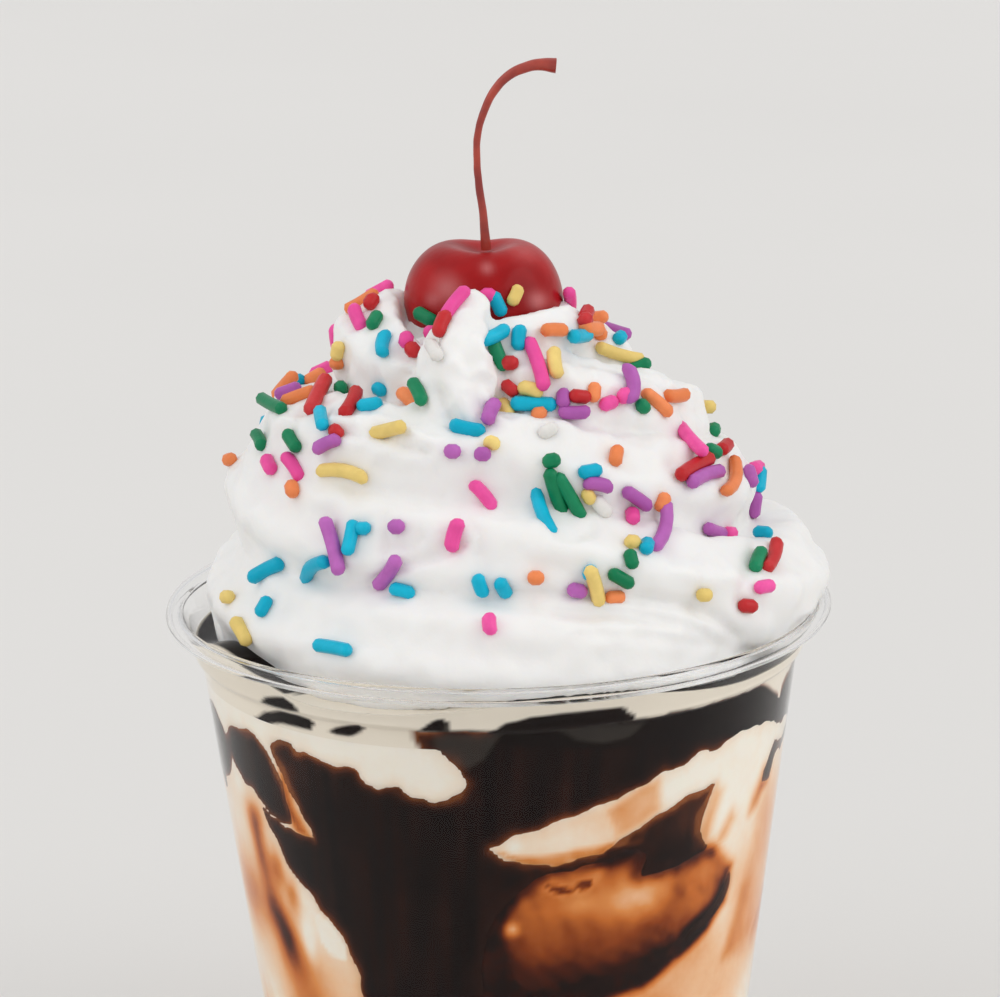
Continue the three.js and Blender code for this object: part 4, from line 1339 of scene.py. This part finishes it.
def layHidden(stores, laid):
    names = [name for name in sprinkleSpec["colours"] if name != "white"]
    middle = Vector((0, 0, rimTop + 8 * mm))
    toCamera = camera.matrix_world.translation - middle
    for i in range(sprinkleSpec["hidden"]):
        turn = math.radians(i * 137.508)
        rise = math.radians(4 + 70 * draw.random() ** 0.8)
        inward = -Vector((math.sin(turn) * math.cos(rise), -math.cos(turn) * math.cos(rise), math.sin(rise)))
        place, normal, face, distance = trees[0].ray_cast(middle - inward * 0.09, inward)
        along = Vector((draw.uniform(-1, 1), draw.uniform(-1, 1), draw.uniform(-1, 1)))
        length = draw.uniform(4, 8.5) * mm
        name = draw.choice(names)
        if place is None or normal.dot(toCamera.normalized()) > -0.1:
            continue
        nearRim = place.z < rimTop + 3 * mm and math.hypot(place.x, place.y) > 36 * mm
        if nearRim or any((place - other).length < 2.6 * mm for other in laid):
            continue
        along -= normal * along.dot(normal)
        layStrand(stores[name], place, normal, along, length, draw.uniform(-0.06, 0.06))
        laid.append(place)


def makeSprinkleMaterial(name, shade):
    red, green, blue = shade
    material, nodes, links, shader = newMaterial(name + "Sugar", {
        "Roughness": 0.34, "Specular IOR Level": 0.2, "Subsurface Weight": 0.08,
        "Subsurface Radius": (1.0, 0.8, 0.6), "Subsurface Scale": 0.0008,
    })
    tone = addNode(nodes, "ShaderNodeAttribute", attribute_name="tone")
    ramp = addRamp(nodes, [
        (0.0, colour(red * 0.93, green * 0.93, blue * 0.93)),
        (1.0, colour(red + (255 - red) * 0.08, green + (255 - green) * 0.08, blue + (255 - blue) * 0.08)),
    ])
    patches = addGroup(nodes, patchyTone, {
        "Patch Color": colour(red * 0.88, green * 0.88, blue * 0.88), "Scale": 500.0, "Amount": 0.5,
    })
    skin = addGroup(nodes, unevenSkin, {"Scale": 900.0, "Fine Scale": 3000.0, "Fine Share": 0.4})
    links.new(tone.outputs["Fac"], ramp.inputs["Fac"])
    links.new(ramp.outputs["Color"], patches.inputs["Color"])
    links.new(patches.outputs["Color"], shader.inputs["Base Color"])
    addBump(nodes, links, shader, skin.outputs["Height"], 0.25, 0.0002)
    return material


def makeSprinkles():
    stores = {name: {"points": [], "faces": [], "tones": []} for name in sprinkleSpec["colours"]}
    laid = layShown(stores)
    layHidden(stores, laid)
    for name, store in stores.items():
        mesh = bpy.data.meshes.new(name + "Sprinkles")
        mesh.from_pydata([tuple(point) for point in store["points"]], [], store["faces"])
        mesh.update()
        piece = bpy.data.objects.new(name + "Sprinkles", mesh)
        bpy.context.scene.collection.objects.link(piece)
        paintPoints(piece, "tone", store["tones"])
        smoothed(piece, 180)
        material = makeSprinkleMaterial(name, sprinkleSpec["colours"][name])
        finishPiece(piece, name + "Sprinkles", material, "sprinkles", "whipped_cream")
    print("sprinkles done,", len(laid), "laid")


makeSprinkles()

# Floor and light
stageSpec = {
    "floorColour": (225, 223, 220), "floorSize": 14.0,
    "world": (0.985, 0.99, 1.0, 1.0), "worldStrength": 0.68,
    "lamps": {   # angle round from the front, elevation, how wide it looks, strength, colour
        "window": (-70, 35, 60, 0.62, (1.0, 0.995, 0.985)),
        "doorway": (70, 34, 50, 0.8, (1.0, 0.995, 0.99)),
        "front": (0, 12, 70, 0.15, (1.0, 0.99, 0.98)),
        "ceiling": (180, 70, 60, 0.2, (1.0, 1.0, 1.0)),
    },
}


def makeStage(spec):
    clearSelection()
    bpy.ops.mesh.primitive_plane_add(size=spec["floorSize"], location=(0, 0, 0))
    floor = bpy.context.object
    floor.name = "floor"
    material, nodes, links, shader = newMaterial("paleFloor", {"Roughness": 0.8})
    tone = addGroup(nodes, patchyTone, {
        "Color": colour(*spec["floorColour"]), "Patch Color": colour(*(c - 3 for c in spec["floorColour"])),
        "Scale": 3.0, "Amount": 0.5,
    })
    links.new(tone.outputs["Color"], shader.inputs["Base Color"])
    floor.data.materials.append(material)
    world = bpy.data.worlds.new("paleRoom")
    world.use_nodes = True
    background = world.node_tree.nodes["Background"]
    background.inputs["Color"].default_value = spec["world"]
    background.inputs["Strength"].default_value = spec["worldStrength"]
    bpy.context.scene.world = world
    for name, (angle, elevation, width, strength, shade) in spec["lamps"].items():
        clearSelection()
        turn, rise = math.radians(angle), math.radians(elevation)
        towards = Vector((math.sin(turn) * math.cos(rise), -math.cos(turn) * math.cos(rise), math.sin(rise)))
        bpy.ops.object.light_add(type="SUN", location=towards)
        lamp = bpy.context.object
        lamp.name = name
        lamp.data.angle = math.radians(width)
        lamp.data.energy = strength
        lamp.data.color = shade
        lamp.rotation_euler = towards.to_track_quat("Z", "Y").to_euler()
    bpy.context.scene.view_settings.view_transform = "Standard"


makeStage(stageSpec)
print("stage done")
